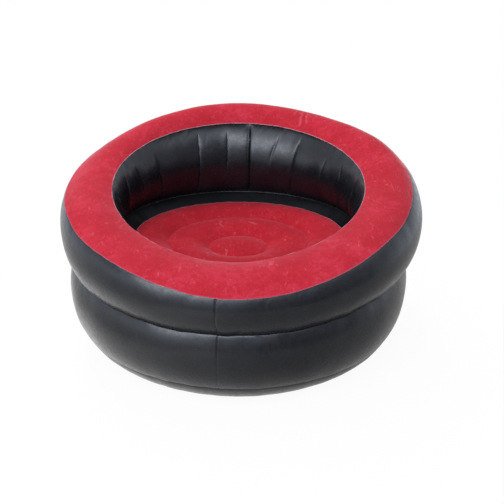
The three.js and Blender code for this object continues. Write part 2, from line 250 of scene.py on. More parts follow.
@dataclass(frozen=True)
class SeamPlan:
    """All the seams, so that every panel that shares a seam reads the same line."""

    crease: RingLine = RingLine(
        CREASE_RADIUS, 193.5, 253.0, 320.0, wander=0.6, seed=11, settling=((200.0, 24.0, -4.0),)
    )
    groove: RingLine = RingLine(GROOVE_RADIUS, 287.4, 287.4, 287.4, wander=0.25, seed=12)
    outer: RingLine = RingLine(
        OUTER_SEAM_RADIUS, 273.5, 404.5, 505.0, droop=8.9, shift=-0.4,
        wander=0.3, seed=13, settling=OUTER_SETTLING,
    )
    inner: RingLine = RingLine(
        INNER_SEAM_RADIUS, 309.0, 402.0, 482.4, wander=0.3, seed=14, settling=INNER_SETTLING
    )
    base: RingLine = RingLine(BASE_SEAM_RADIUS, 70.0, 70.0, 70.0, wander=0.5, seed=15)
    seat: RingLine = RingLine(SEAT_RADIUS, 264.0, 264.0, 264.0, shift=3.5, wander=0.25, seed=16)
    crown: RingLine = RingLine(
        CROWN_RADIUS, 300.0, 422.0, 529.2, droop=3.0, shift=5.0, settling=CROWN_SETTLING
    )

    def at(self, angle: Array) -> dict[Weld, Seam]:
        """Work out every seam.

        A fin points at the middle of its air chamber, and up is square to it.

        Args:
            angle: Angles round the chair, in radians.

        Returns:
            The seams, with one row for each angle.
        """
        crease, groove, outer = self.crease.at(angle), self.groove.at(angle), self.outer.at(angle)
        inner, base, seat = self.inner.at(angle), self.base.at(angle), self.seat.at(angle)
        upper_core = middle(middle(crease, outer), middle(groove, inner))
        tie_foot = points(np.full_like(angle, RING_TIE_RADIUS), 0)
        lower_core = middle(middle(crease, base), middle(groove, tie_foot))
        inwards = unit(groove - crease)
        to_outer, to_inner = unit(upper_core - outer), unit(upper_core - inner)
        to_base = unit(lower_core - base)
        down = points(np.zeros_like(angle), -1)
        return {
            Weld.CREASE: Seam(crease, inwards, -turn_left(inwards)),
            Weld.GROOVE: Seam(groove, -inwards, -turn_left(inwards)),
            Weld.OUTER: Seam(outer, to_outer, -turn_left(to_outer)),
            Weld.INNER: Seam(inner, to_inner, turn_left(to_inner)),
            Weld.BASE: Seam(base, to_base, -turn_left(to_base)),
            Weld.SEAT: Seam(seat, down, points(np.ones_like(angle), 0)),
        }


PLAN = SeamPlan()

# How far up from a weld's middle its outer films lie: three films, film and flock, or two films
THREE_LAYERS = FILM + WELD_GAP
MIXED_LAYERS = (FILM + FLOCKED_FILM) / 4 + WELD_GAP / 2
TWO_LAYERS = (FILM + WELD_GAP) / 2


def slackness(angle: Array) -> Array:
    """Return how slack the upper outer wall hangs: exp(-((a - slack angle) / slack width)²)."""
    return bell(wrapped(angle - SLACK_ANGLE) / SLACK_WIDTH)


def swelling(start: Array, end: Array, peak: Array, steps: int, fullness: Array | float = 0.8) -> Array:
    """Draw an air-filled curve from one point to another, through a peak half way along.

    Point = line from start to end + (peak - middle)·(4s(1 - s))^fullness, with the shares s set close
    together near both ends by a cosine.

    Args:
        start: Start points, one row for each angle.
        end: End points.
        peak: Peak points.
        steps: How many steps the curve has.
        fullness: Power of the bulge, below 1 for a flatter middle. It may vary round the chair.

    Returns:
        Array of (angle, step, radius and height).
    """
    share = (1 - np.cos(np.linspace(0, math.pi, steps + 1))) / 2
    bulge = (4 * share * (1 - share)) ** np.broadcast_to(fullness, len(start))[:, None]
    line = start[:, None] + (end - start)[:, None] * share[:, None]
    return line + (peak - middle(start, end))[:, None] * bulge[..., None]


def shifted(rows: Array, distance: Array) -> Array:
    """Move cross-section lines sideways to their left, with mitred corners.

    Args:
        rows: Array of (angle, step, radius and height).
        distance: How far each point moves.

    Returns:
        The moved lines.
    """
    sides = turn_left(unit(np.diff(rows, axis=1)))
    before = np.concatenate((sides[:, :1], sides), axis=1)
    after = np.concatenate((sides, sides[:, -1:]), axis=1)
    normal = unit(before + after)
    stretch = np.maximum((normal * after).sum(axis=-1), 0.5)
    return rows + normal * (distance / stretch)[..., None]


# Relief: how the film departs from its smooth, blown-up shape


@dataclass(frozen=True)
class Patch:
    """A panel's points with what the relief needs to know of each."""

    angle: Array
    rows: Array
    body: slice
    share: Array
    from_start: Array
    from_end: Array

    @property
    def radius(self) -> Array:
        """Radius of each point between the panel's two edges."""
        return self.rows[:, self.body, 0]


@dataclass(frozen=True)
class Fold:
    """One crease across a panel, a valley that the air swells up on both sides of.

    Depth·(soft·exp(-s/width) + crisp·exp(-(s/crisp width)²)), where s is the distance from the crease,
    times a fade at both ends. It leans by an angle from the panel's start to its end, and bends half
    way. Angles are in degrees, and low and high are the shares of the way across where it ends.
    """

    soft: ClassVar[float] = 0.6
    crisp: ClassVar[float] = 0.4
    crisp_width: ClassVar[float] = 1.6
    rounding: ClassVar[float] = 0.6
    fade: ClassVar[float] = 0.1
    column_reach: ClassVar[float] = 1.4
    column_step: ClassVar[float] = 0.2

    angle: float
    lean: float
    depth: float
    width: float
    low: float = 0.0
    high: float = 1.0
    bend: float = 0.0

    def field(self, patch: Patch) -> Array:
        """Work out how far the crease moves the film.

        Args:
            patch: The panel's points.

        Returns:
            Distance outwards at each point between the edges, so a crease is negative.
        """
        share = patch.share
        centre = self.angle + self.lean * share + self.bend * 4 * share * (1 - share)
        away = wrapped(patch.angle[:, None] - np.radians(centre)) * patch.radius
        rounded = np.sqrt(away**2 + self.rounding**2) - self.rounding
        valley = self.soft * np.exp(-rounded / self.width) + self.crisp * bell(away / self.crisp_width)
        begun = smooth_step(self.low - self.fade, self.low + self.fade, share)
        ended = smooth_step(self.high - self.fade, self.high + self.fade, share)
        return -self.depth * valley * (begun * (1 - ended))

    def columns(self) -> Array:
        """Return closely set angles, in radians, wherever the crease runs."""
        ends = self.angle + self.lean * np.clip((self.low, 0.5, self.high), 0, 1)
        ends = ends + np.array((0, self.bend, 0))
        first, last = ends.min() - self.column_reach, ends.max() + self.column_reach
        return np.radians(np.arange(first, last, self.column_step))


class Edge(Enum):
    """Which edge of a panel a row of gathers starts from."""

    START = "start"
    END = "end"


@dataclass(frozen=True)
class Gathers:
    """Short puckers that a weld draws into the film, at random places along one edge.

    Each is depth·exp(-s/width)·(y/reach)·exp(1 - y/reach), with s along the edge and y away from it.
    Spread is how far widths and reaches vary, rarity above 1 makes deep puckers rarer, and stray and slant
    are how unevenly they lie. Past so many widths and reaches a pucker has faded out.
    """

    spread: ClassVar[float] = 0.5
    stray: ClassVar[float] = 0.45
    shallowest: ClassVar[float] = 0.15
    rarity: ClassVar[float] = 1.5
    slant: ClassVar[float] = 0.35
    rounding: ClassVar[float] = 0.5
    faded_widths: ClassVar[int] = 8
    faded_reaches: ClassVar[int] = 2

    edge: Edge
    count: int
    seed: int
    depth: float
    width: float
    reach: float

    def field(self, patch: Patch) -> Array:
        """Work out how far the gathers move the film.

        Args:
            patch: The panel's points.

        Returns:
            Distance outwards at each point between the edges.
        """
        random = np.random.default_rng(self.seed)
        centre = np.arange(self.count) + random.uniform(-self.stray, self.stray, self.count)
        centre = centre * TURN / self.count
        depth = self.depth * random.uniform(self.shallowest, 1.0, self.count) ** self.rarity
        width = self.width * random.uniform(1 - self.spread, 1 + self.spread, self.count)
        reach = self.reach * random.uniform(1 - self.spread, 1 + self.spread, self.count)
        slant = random.normal(0, self.slant, self.count)
        away = patch.from_start if self.edge is Edge.START else patch.from_end
        moved = np.zeros_like(away)
        radius = float(patch.radius.mean())
        for middle_angle, deep, wide, far, lean in zip(centre, depth, width, reach, slant):
            faded = self.faded_widths * wide + far * self.faded_reaches
            near = np.abs(wrapped(patch.angle - middle_angle)) * radius < faded
            along = wrapped(patch.angle[near] - middle_angle)[:, None] * radius + lean * away[near]
            rounded = np.sqrt(along**2 + self.rounding**2) - self.rounding
            share = away[near] / far
            moved[near] -= deep * np.exp(-rounded / wide) * share * np.exp(1 - share)
        return moved


@dataclass(frozen=True)
class Waves:
    """Broad, shallow waves along a panel, strongest half way across it."""

    seed: int
    size: float
    low: int = 5
    high: int = 26

    def field(self, patch: Patch) -> Array:
        """Work out how far the waves move the film: waves round the chair times sin(pi·share).

        Args:
            patch: The panel's points.

        Returns:
            Distance outwards at each point between the edges.
        """
        first = harmonics(patch.angle, self.seed, self.low, self.high, self.size)
        second = harmonics(patch.angle, self.seed + 1, self.low, self.high, self.size)
        share = patch.share * math.pi
        return first[:, None] * np.sin(share) + second[:, None] * np.sin(2 * share) / 2


Relief = Fold | Gathers | Waves


# Meshes

SHARP = 40.0  # Degrees from which an edge stays sharp
SHARP_MOULDING = 30.0  # The same on a turned valve part
SHARP_BEAD = 80.0  # The same on a weld bead, whose eight sides stand for a round
SAME_PLACE = 1e-6  # Metres within which two points are one
HOLE_SHARE = 0.55  # Share of a hole's radius within which faces go


@dataclass
class Grid:
    """A rectangular net of points, closed or open round the chair.

    Edge is each point's distance from the edge of its panel, and removed marks the faces left out.
    """

    places: Array
    closed: bool
    edge: Array | None = None
    removed: Array | None = None

    def faces(self) -> Array:
        """Return the quads of the net, four point numbers each, facing left of the cross-section."""
        count, rows = self.places.shape[:2]
        here = np.arange(count if self.closed else count - 1)
        step = np.arange(rows - 1)
        first, row = np.meshgrid(here, step, indexing="ij")
        after = (first + 1) % count
        quads = np.stack(
            (first * rows + row, first * rows + row + 1, after * rows + row + 1, after * rows + row), axis=-1
        )
        if self.removed is not None:
            return quads[~self.removed]
        return quads.reshape(-1, 4)

    def pierce(self, centre: Array, axis: Array, radius: float, reach: float) -> None:
        """Open a round hole: the faces at its middle go, and the points round it move outwards.

        Distance from the axis becomes radius + distance·(reach - radius) / reach.

        Args:
            centre: Middle of the hole.
            axis: Direction through the hole.
            radius: Radius of the hole.
            reach: How far out points move.
        """
        offset = self.places - centre
        along = offset @ axis
        across = offset - along[..., None] * axis
        distance = np.linalg.norm(across, axis=-1)
        near = (distance < reach) & (np.abs(along) < reach)
        moved = radius + distance * (reach - radius) / reach
        shift = across / np.maximum(distance, 1e-6)[..., None] * (moved - distance)[..., None]
        rows = self.places.shape[1]
        quads = Grid(self.places, self.closed).faces()
        middles = across.reshape(-1, 3)[quads].mean(axis=1)
        close = near.reshape(-1)[quads].all(axis=1)
        gone = (np.linalg.norm(middles, axis=-1) < radius * HOLE_SHARE) & close
        self.places = self.places + np.where(near[..., None], shift, 0)
        self.removed = gone.reshape(-1, rows - 1)

    def mesh(self, name: str) -> bpy.types.Object:
        """Make the net a mesh object with its edge distances as an attribute.

        Args:
            name: Name of the object.

        Returns:
            The new object, in metres.
        """
        obj = mesh_object(name, self.places.reshape(-1, 3), self.faces())
        edge = np.zeros(self.places.shape[:2]) if self.edge is None else self.edge
        attribute = obj.data.attributes.new("edge", "FLOAT", "POINT")
        attribute.data.foreach_set("value", edge.reshape(-1).astype(np.float32))
        return obj


def mesh_object(name: str, places: Array, faces: Array) -> bpy.types.Object:
    """Make a mesh object from points in millimetres and equal-sized faces.

    Args:
        name: Name of the object.
        places: One point in each row.
        faces: Point numbers of one face in each row.

    Returns:
        The object, at the origin and in metres.
    """
    data = bpy.data.meshes.new(name)
    sides = faces.shape[1]
    data.vertices.add(len(places))
    data.vertices.foreach_set("co", (places * MM).astype(np.float32).reshape(-1))
    data.loops.add(faces.size)
    data.loops.foreach_set("vertex_index", faces.astype(np.int32).reshape(-1))
    data.polygons.add(len(faces))
    data.polygons.foreach_set("loop_start", np.arange(0, faces.size, sides, dtype=np.int32))
    data.update(calc_edges=True)
    data.validate()
    obj = bpy.data.objects.new(name, data)
    bpy.context.scene.collection.objects.link(obj)
    return obj


@contextmanager
def editing(obj: bpy.types.Object) -> Iterator[bmesh.types.BMesh]:
    """Open a mesh for editing, and write it back afterwards."""
    work = bmesh.new()
    work.from_mesh(obj.data)
    yield work
    work.to_mesh(obj.data)
    work.free()


def shade(obj: bpy.types.Object, sharp: float = SHARP) -> None:
    """Shade a mesh smooth, except at edges sharper than an angle in degrees."""
    obj.data.shade_smooth()
    obj.data.set_sharp_from_angle(angle=math.radians(sharp))


def tidy_mesh(obj: bpy.types.Object, sharp: float = SHARP) -> None:
    """Join points that coincide, drop loose ones, and shade the mesh.

    Args:
        obj: The mesh object.
        sharp: Angle in degrees from which an edge stays sharp.
    """
    with editing(obj) as work:
        bmesh.ops.remove_doubles(work, verts=work.verts, dist=SAME_PLACE)
        loose = [vertex for vertex in work.verts if not vertex.link_faces]
        bmesh.ops.delete(work, geom=loose, context="VERTS")
    shade(obj, sharp)


def recalculate(obj: bpy.types.Object) -> None:
    """Turn the faces of a closed mesh outwards."""
    with editing(obj) as work:
        bmesh.ops.recalc_face_normals(work, faces=work.faces)


def close_ends(obj: bpy.types.Object, most_sides: int = 8) -> None:
    """Join the points of a tube that coincide, fill its open ends, and shade it."""
    with editing(obj) as work:
        bmesh.ops.remove_doubles(work, verts=work.verts, dist=SAME_PLACE)
        open_edges = [edge for edge in work.edges if edge.is_boundary]
        bmesh.ops.holes_fill(work, edges=open_edges, sides=most_sides)
    shade(obj)


def thicken(obj: bpy.types.Object, thickness: float, offset: float = -1.0) -> None:
    """Give a skin its film thickness, inwards from its outer face, or to both sides at offset 0."""
    solidify = obj.modifiers.new("film", "SOLIDIFY")
    solidify.thickness = thickness * MM
    solidify.offset = offset
    solidify.use_rim = True


def round_edges(obj: bpy.types.Object, width: float, segments: int = 2) -> None:
    """Round the sharp edges of a moulded piece by a width in millimetres."""
    bevel = obj.modifiers.new("rounding", "BEVEL")
    bevel.width = width * MM
    bevel.segments = segments
    bevel.limit_method = "ANGLE"
    bevel.angle_limit = math.radians(SHARP)


def dress(obj: bpy.types.Object, material: Material) -> None:
    """Give a piece one material."""
    obj.data.materials.clear()
    obj.data.materials.append(material)


# Materials


def linear(hex_colour: str) -> tuple[float, float, float, float]:
    """Turn an sRGB hex colour to linear light.

    Args:
        hex_colour: Six hex digits.

    Returns:
        Red, green, blue and an alpha of one.
    """
    parts = [int(hex_colour[i : i + 2], 16) / 255 for i in (0, 2, 4)]
    red, green, blue = [c / 12.92 if c <= 0.04045 else ((c + 0.055) / 1.055) ** 2.4 for c in parts]
    return red, green, blue, 1.0


WHITE = (1.0, 1.0, 1.0, 1.0)


class Tree:
    """A material or world node tree that is being built."""

    def __init__(self, owner: Material | bpy.types.World) -> None:
        """Empty the owner's node tree."""
        owner.use_nodes = True
        self.tree = owner.node_tree
        self.tree.nodes.clear()

    def add(
        self,
        kind: str,
        inputs: Sequence[Value] | dict[str | int, Value] = (),
        output: str | int = 0,
        **settings: object,
    ) -> Socket | None:
        """Add a node with its settings, and link or set its inputs.

        Args:
            kind: Type name of the node, without "ShaderNode".
            inputs: Sockets to link from or plain values, in the inputs' order, or by name or number.
            output: Name or number of the wanted output.
            settings: Properties of the node.

        Returns:
            The wanted output, if the node has outputs.
        """
        node = self.tree.nodes.new(f"ShaderNode{kind}")
        for name, value in settings.items():
            setattr(node, name, value)
        for key, value in inputs.items() if isinstance(inputs, dict) else enumerate(inputs):
            if isinstance(value, bpy.types.NodeSocket):
                self.tree.links.new(value, node.inputs[key])
            else:
                node.inputs[key].default_value = value
        return node.outputs[output] if len(node.outputs) else None


def new_material(name: str) -> tuple[Material, Tree, Socket]:
    """Make an empty material, and return it with its node tree and its Object coordinates."""
    material = bpy.data.materials.new(name)
    tree = Tree(material)
    return material, tree, tree.add("TexCoord", output="Object")


@dataclass(frozen=True)
class Cloud:
    """A cloudy pattern: noise of blobs about so many millimetres across, cut off at low and high."""

    size: float
    detail: float
    low: float = 0.3
    high: float = 0.7
    roughness: float = 0.5
    distortion: float = 0.0

    def noise(self, tree: Tree, where: Socket, output: int = 0) -> Socket:
        """Add the noise.

        Args:
            tree: The material's node tree.
            where: The places that it is read at.
            output: 0 for its value, or 1 for its colour.

        Returns:
            The noise, which mostly lies between 0.3 and 0.7.
        """
        inputs = {"Vector": where, "Scale": 1.0 / (self.size * MM), "Detail": self.detail}
        inputs |= {"Roughness": self.roughness, "Distortion": self.distortion}
        return tree.add("TexNoise", inputs, output)

    def share(self, tree: Tree, where: Socket) -> Socket:
        """Return 0 where the noise is below low, rising to 1 where it is above high."""
        return tree.add("MapRange", (self.noise(tree, where), self.low, self.high))


@dataclass(frozen=True)
class Stroke:
    """A mark brushed into the pile, in plan: its two ends and its width, in millimetres."""

    start: tuple[float, float]
    end: tuple[float, float]
    width: float

    def share(self, tree: Tree, flat: Socket) -> Socket:
        """Work out a share that is 1 along the stroke and fades out to its sides.

        Distance = |p - d·clamp(p·d / d·d)|, with p from the stroke's start and d along it.

        Args:
            tree: The material's node tree.
            flat: Places seen in plan.

        Returns:
            The share at each place.
        """
        along = np.subtract(self.end, self.start) * MM
        start = (self.start[0] * MM, self.start[1] * MM, 0.0)
        here = tree.add("VectorMath", (flat, start), operation="SUBTRACT")
        scaled = (*(along / (along @ along)), 0.0)
        share = tree.add("VectorMath", (here, scaled), "Value", operation="DOT_PRODUCT")
        share = tree.add("MapRange", (share, 0.0, 1.0))
        foot = tree.add("VectorMath", {0: (*along, 0.0), "Scale": share}, operation="SCALE")
        aside = tree.add("VectorMath", (here, foot), "Value", operation="DISTANCE")
        return tree.add("MapRange", (aside, 0.0, self.width * MM, 1.0, 0.0))


# Paler marks: four at the back right of the top, and two on the seat
BRUSHED = (
    Stroke((159.0, 331.0), (149.0, 304.0), 4.0),
    Stroke((171.0, 325.0), (157.0, 272.0), 4.5),
    Stroke((187.0, 315.0), (175.0, 273.0), 4.0),
    Stroke((147.0, 340.0), (143.0, 326.0), 5.0),
    Stroke((-58.0, 142.0), (-46.0, 105.0), 4.5),
    Stroke((22.0, 136.0), (45.0, 122.0), 7.0),
)


@dataclass(frozen=True)
class FlockedVinyl:
    """PVC film flocked with short nylon fibres, as suede to the eye.

    It gives a dull, deep red without a glossy highlight, paler at grazing angles, clouded where the pile lies
    one way or the other, with fine pale lint and the speckle of single tufts. At the welds the pile is
    flattened and paler, a band that is partly a painted highlight along the weld's ridge. On the seat it
    lies flatter all over, which takes away most of its sheen, and its darker colours are painted shade
    for the seat down in the tub.
    """

    name: str = "nylon flock on PVC film, red"
    deep: str = "9b1824"
    plain: str = "a71e2c"
    light: str = "b53040"
    scuff: str = "d8707c"
    # Colour of the band along the welds: flattened pile, partly a painted highlight on the weld's ridge
    pressed_with_painted_light: str = "a8364a"
    sheen: float = 0.85

    cloud: ClassVar[Cloud] = Cloud(85.0, 3.0, 0.36, 0.64, distortion=0.6)
    smudge: ClassVar[Cloud] = Cloud(22.0, 5.0, 0.38, 0.62, 0.65, 1.2)
    mottle: ClassVar[Cloud] = Cloud(8.0, 4.0, 0.36, 0.66, 0.75, 0.8)
    lint: ClassVar[Cloud] = Cloud(11.0, 5.0, 0.58, 0.7, 0.75, 1.6)
    # Real tufts are under 0.1 mm across, so they are drawn coarse enough to show
    tuft: ClassVar[Cloud] = Cloud(1.7, 2.0)
    sway: ClassVar[Cloud] = Cloud(25.0, 2.0)
    sway_reach: ClassVar[float] = 22.0
    lint_strength: ClassVar[float] = 0.38
    lint_turn: ClassVar[float] = 0.6
    lint_stretch: ClassVar[tuple[float, float, float]] = (1.0, 0.28, 1.0)
    ragged: ClassVar[float] = 1.2
    # What a value turns to: the pile's lie, a tuft's height, and the distance from a weld in millimetres
    lie_plain: ClassVar[Range] = (0.1, 0.55, 0.0, 1.0)
    lie_light: ClassVar[Range] = (0.5, 0.85, 0.0, 0.85)
    tuft_light: ClassVar[Range] = (0.35, 0.7, 0.0, 0.35)
    tuft_brushed: ClassVar[Range] = (0.3, 0.6, 0.05, 0.4)
    weld_pressed_with_highlight: ClassVar[Range] = (1.2, 2.6, 1.0, 0.0)

    def brushed(self, tree: Tree, where: Socket) -> Socket:
        """Return the share of the brushed marks at each place, with their outlines swayed by noise."""
        sway = (self.sway.noise(tree, where, 1), (0.5, 0.5, 0.5))
        sway = {0: tree.add("VectorMath", sway, operation="SUBTRACT"), "Scale": self.sway_reach * MM}
        sway = tree.add("VectorMath", sway, operation="SCALE")
        bent = tree.add("VectorMath", (where, sway), operation="ADD")
        flat = tree.add("VectorMath", (bent, (1.0, 1.0, 0.0)), operation="MULTIPLY")
        share = 0.0
        for mark in BRUSHED:
            share = tree.add("Math", (mark.share(tree, flat), share), operation="MAXIMUM")
        return share

    def colour(self, tree: Tree, where: Socket, tuft: Socket, smudge: Socket) -> Socket:
        """Lay the pile's colours over each other.

        Args:
            tree: The material's node tree.
            where: Object coordinates.
            tuft: The pattern of single tufts.
            smudge: The share of smudges.

        Returns:
            The colour at each place.
        """
        streaks = {"Vector": where, "Rotation": (0, 0, self.lint_turn), "Scale": self.lint_stretch}
        lint = self.lint.share(tree, tree.add("Mapping", streaks))
        lie = tree.add("Math", (self.cloud.share(tree, where), smudge), operation="ADD")
        lie = tree.add("Math", (lie, self.mottle.share(tree, where)), operation="ADD")
        lie = tree.add("Math", (lie, 1 / 3), operation="MULTIPLY")
        brushed = tree.add("MapRange", (tuft, *self.tuft_brushed))
        edge = tree.add("Attribute", (), "Fac", attribute_name="edge")
        ragged = tree.add("Math", (tuft, self.ragged), operation="MULTIPLY")
        ragged = tree.add("Math", (ragged, edge), operation="ADD")
        layers = (
            (tree.add("MapRange", (lie, *self.lie_plain)), self.plain),
            (tree.add("MapRange", (lie, *self.lie_light)), self.light),
            (tree.add("MapRange", (tuft, *self.tuft_light)), self.light),
            (tree.add("Math", (lint, self.lint_strength), operation="MULTIPLY"), self.scuff),
            (tree.add("Math", (self.brushed(tree, where), brushed), operation="MULTIPLY"), self.scuff),
            # The band along the welds, partly a painted highlight on the weld's ridge
            (tree.add("MapRange", (ragged, *self.weld_pressed_with_highlight)), self.pressed_with_painted_light),
        )
        colour = linear(self.deep)
        for share, layer in layers:
            colour = tree.add("Mix", {0: share, 6: colour, 7: linear(layer)}, 2, data_type="RGBA")
        return colour

    def make(self) -> Material:
        """Build the material and return it."""
        material, tree, where = new_material(self.name)
        tuft = self.tuft.noise(tree, where)
        smudge = self.smudge.share(tree, where)
        bump = tree.add("Bump", {"Height": tuft, "Strength": 0.35, "Distance": 0.5 * MM})
        bump = tree.add("Bump", {"Height": smudge, "Strength": 0.12, "Distance": 1.2 * MM, "Normal": bump})
        inputs = {
            "Base Color": self.colour(tree, where, tuft, smudge),
            "Roughness": 0.92,
            "IOR": 1.5,
            "Specular IOR Level": 0.15,
            "Sheen Weight": self.sheen,
            "Sheen Roughness": 0.33,
            "Sheen Tint": linear("ffc8d0"),
            "Normal": bump,
        }
        tree.add("OutputMaterial", {"Surface": tree.add("BsdfPrincipled", inputs)})
        return material


@dataclass(frozen=True)
class CalenderedFilm:
    """PVC film rolled smooth between polished rolls.

    It gives soft, broad highlights with a faint orange peel and a slight ripple.
    """

    name: str = "calendered PVC film, black"
    base: str = "0d0e12"
    worn: str = "14161a"
    roughness: float = 0.28
    gloss: float = 0.28

    cloud: ClassVar[Cloud] = Cloud(60.0, 4.0, 0.35, 0.7, 0.6)
    haze: ClassVar[Cloud] = Cloud(9.0, 4.0)
    peel: ClassVar[Cloud] = Cloud(1.4, 2.0)
    ripple: ClassVar[Cloud] = Cloud(14.0, 2.0, distortion=0.4)
    # How far the roughness lies below and above its own value
    spread: ClassVar[tuple[float, float]] = (0.05, 0.07)

    def make(self) -> Material:
        """Build the material and return it."""
        material, tree, where = new_material(self.name)
        shares = {0: self.cloud.share(tree, where), 6: linear(self.base), 7: linear(self.worn)}
        spread = (self.roughness - self.spread[0], self.roughness + self.spread[1])
        haze = (self.haze.noise(tree, where), self.haze.low, self.haze.high, *spread)
        peel = {"Height": self.peel.noise(tree, where), "Strength": 0.01, "Distance": 0.2 * MM}
        ripple = {"Height": self.ripple.noise(tree, where), "Strength": 0.02, "Distance": 0.6 * MM}
        ripple["Normal"] = tree.add("Bump", peel)
        inputs = {
            "Base Color": tree.add("Mix", shares, 2, data_type="RGBA"),
            "Roughness": tree.add("MapRange", haze),
            "IOR": 1.53,
            "Specular IOR Level": self.gloss,
            "Normal": tree.add("Bump", ripple),
        }
        tree.add("OutputMaterial", {"Surface": tree.add("BsdfPrincipled", inputs)})
        return material


@dataclass(frozen=True)
class MouldedVinyl:
    """Soft injection-moulded PVC or a weld bead: satin, with a slight texture from the tool."""

    name: str
    base: str
    light: str
    roughness: float = 0.45

    cloud: ClassVar[Cloud] = Cloud(12.0, 3.0)
    grain: ClassVar[Cloud] = Cloud(0.8, 2.0)
    # How far the roughness lies below and above its own value
    spread: ClassVar[tuple[float, float]] = (0.05, 0.08)

    def make(self) -> Material:
        """Build the material and return it."""
        material, tree, where = new_material(self.name)
        cloud, low, high = self.cloud.noise(tree, where), self.cloud.low, self.cloud.high
        shares = {0: tree.add("MapRange", (cloud, low, high)), 6: linear(self.base), 7: linear(self.light)}
        rough = (cloud, low, high, self.roughness - self.spread[0], self.roughness + self.spread[1])
        grain = {"Height": self.grain.noise(tree, where), "Strength": 0.12, "Distance": 0.15 * MM}
        inputs = {
            "Base Color": tree.add("Mix", shares, 2, data_type="RGBA"),
            "Roughness": tree.add("MapRange", rough),
            "IOR": 1.52,
            "Normal": tree.add("Bump", grain),
        }
        tree.add("OutputMaterial", {"Surface": tree.add("BsdfPrincipled", inputs)})
        return material


RED_FLOCK = FlockedVinyl()
# The seat's copy is darker all over, painted shade for the seat down in the tub, with little sheen
SHADED_SEAT_FLOCK = FlockedVinyl("nylon flock on PVC film, red, pressed", "921420", "9e1724", "aa2733", sheen=0.2)
BLACK_FILM = CalenderedFilm()
# The seat border's copy is darker, painted shade in the crevice between the seat and the wall, and less
# glossy
SHADED_BORDER_FILM = CalenderedFilm("calendered PVC film, black, painted shade", "07080a", "0a0b0d", 0.34, 0.12)
GREY_FILM = CalenderedFilm("calendered PVC film, grey", "63676a", "74787b", 0.48)
VALVE_VINYL = MouldedVinyl("moulded soft PVC, black", "202224", "2c2e31")
# The red beads' pale colour is partly the fused edge's own and partly a painted highlight on the weld's ridge
RED_BEAD_WITH_HIGHLIGHT = MouldedVinyl("welded PVC edge, pale red", "8e6268", "a98289")
BLACK_BEAD = MouldedVinyl("welded PVC edge, black", "131416", "222427", 0.34)


@dataclass
class Finishes:
    """All the chair's materials, made once."""

    flock: Material = field(default_factory=RED_FLOCK.make)
    shaded_seat_flock: Material = field(default_factory=SHADED_SEAT_FLOCK.make)
    black: Material = field(default_factory=BLACK_FILM.make)
    black_shaded_border: Material = field(default_factory=SHADED_BORDER_FILM.make)
    grey: Material = field(default_factory=GREY_FILM.make)
    valve: Material = field(default_factory=VALVE_VINYL.make)
    red_bead_with_highlight: Material = field(default_factory=RED_BEAD_WITH_HIGHLIGHT.make)
    black_bead: Material = field(default_factory=BLACK_BEAD.make)


# Film panels


class Kind(Enum):
    """Which material slot of the record and which stock a panel is cut from."""

    FLOCK = "flocked_red"
    BLACK = "black_film"
    GREY = "inner_film"
    VALVE = "valve_vinyl"


BODY = "chair"


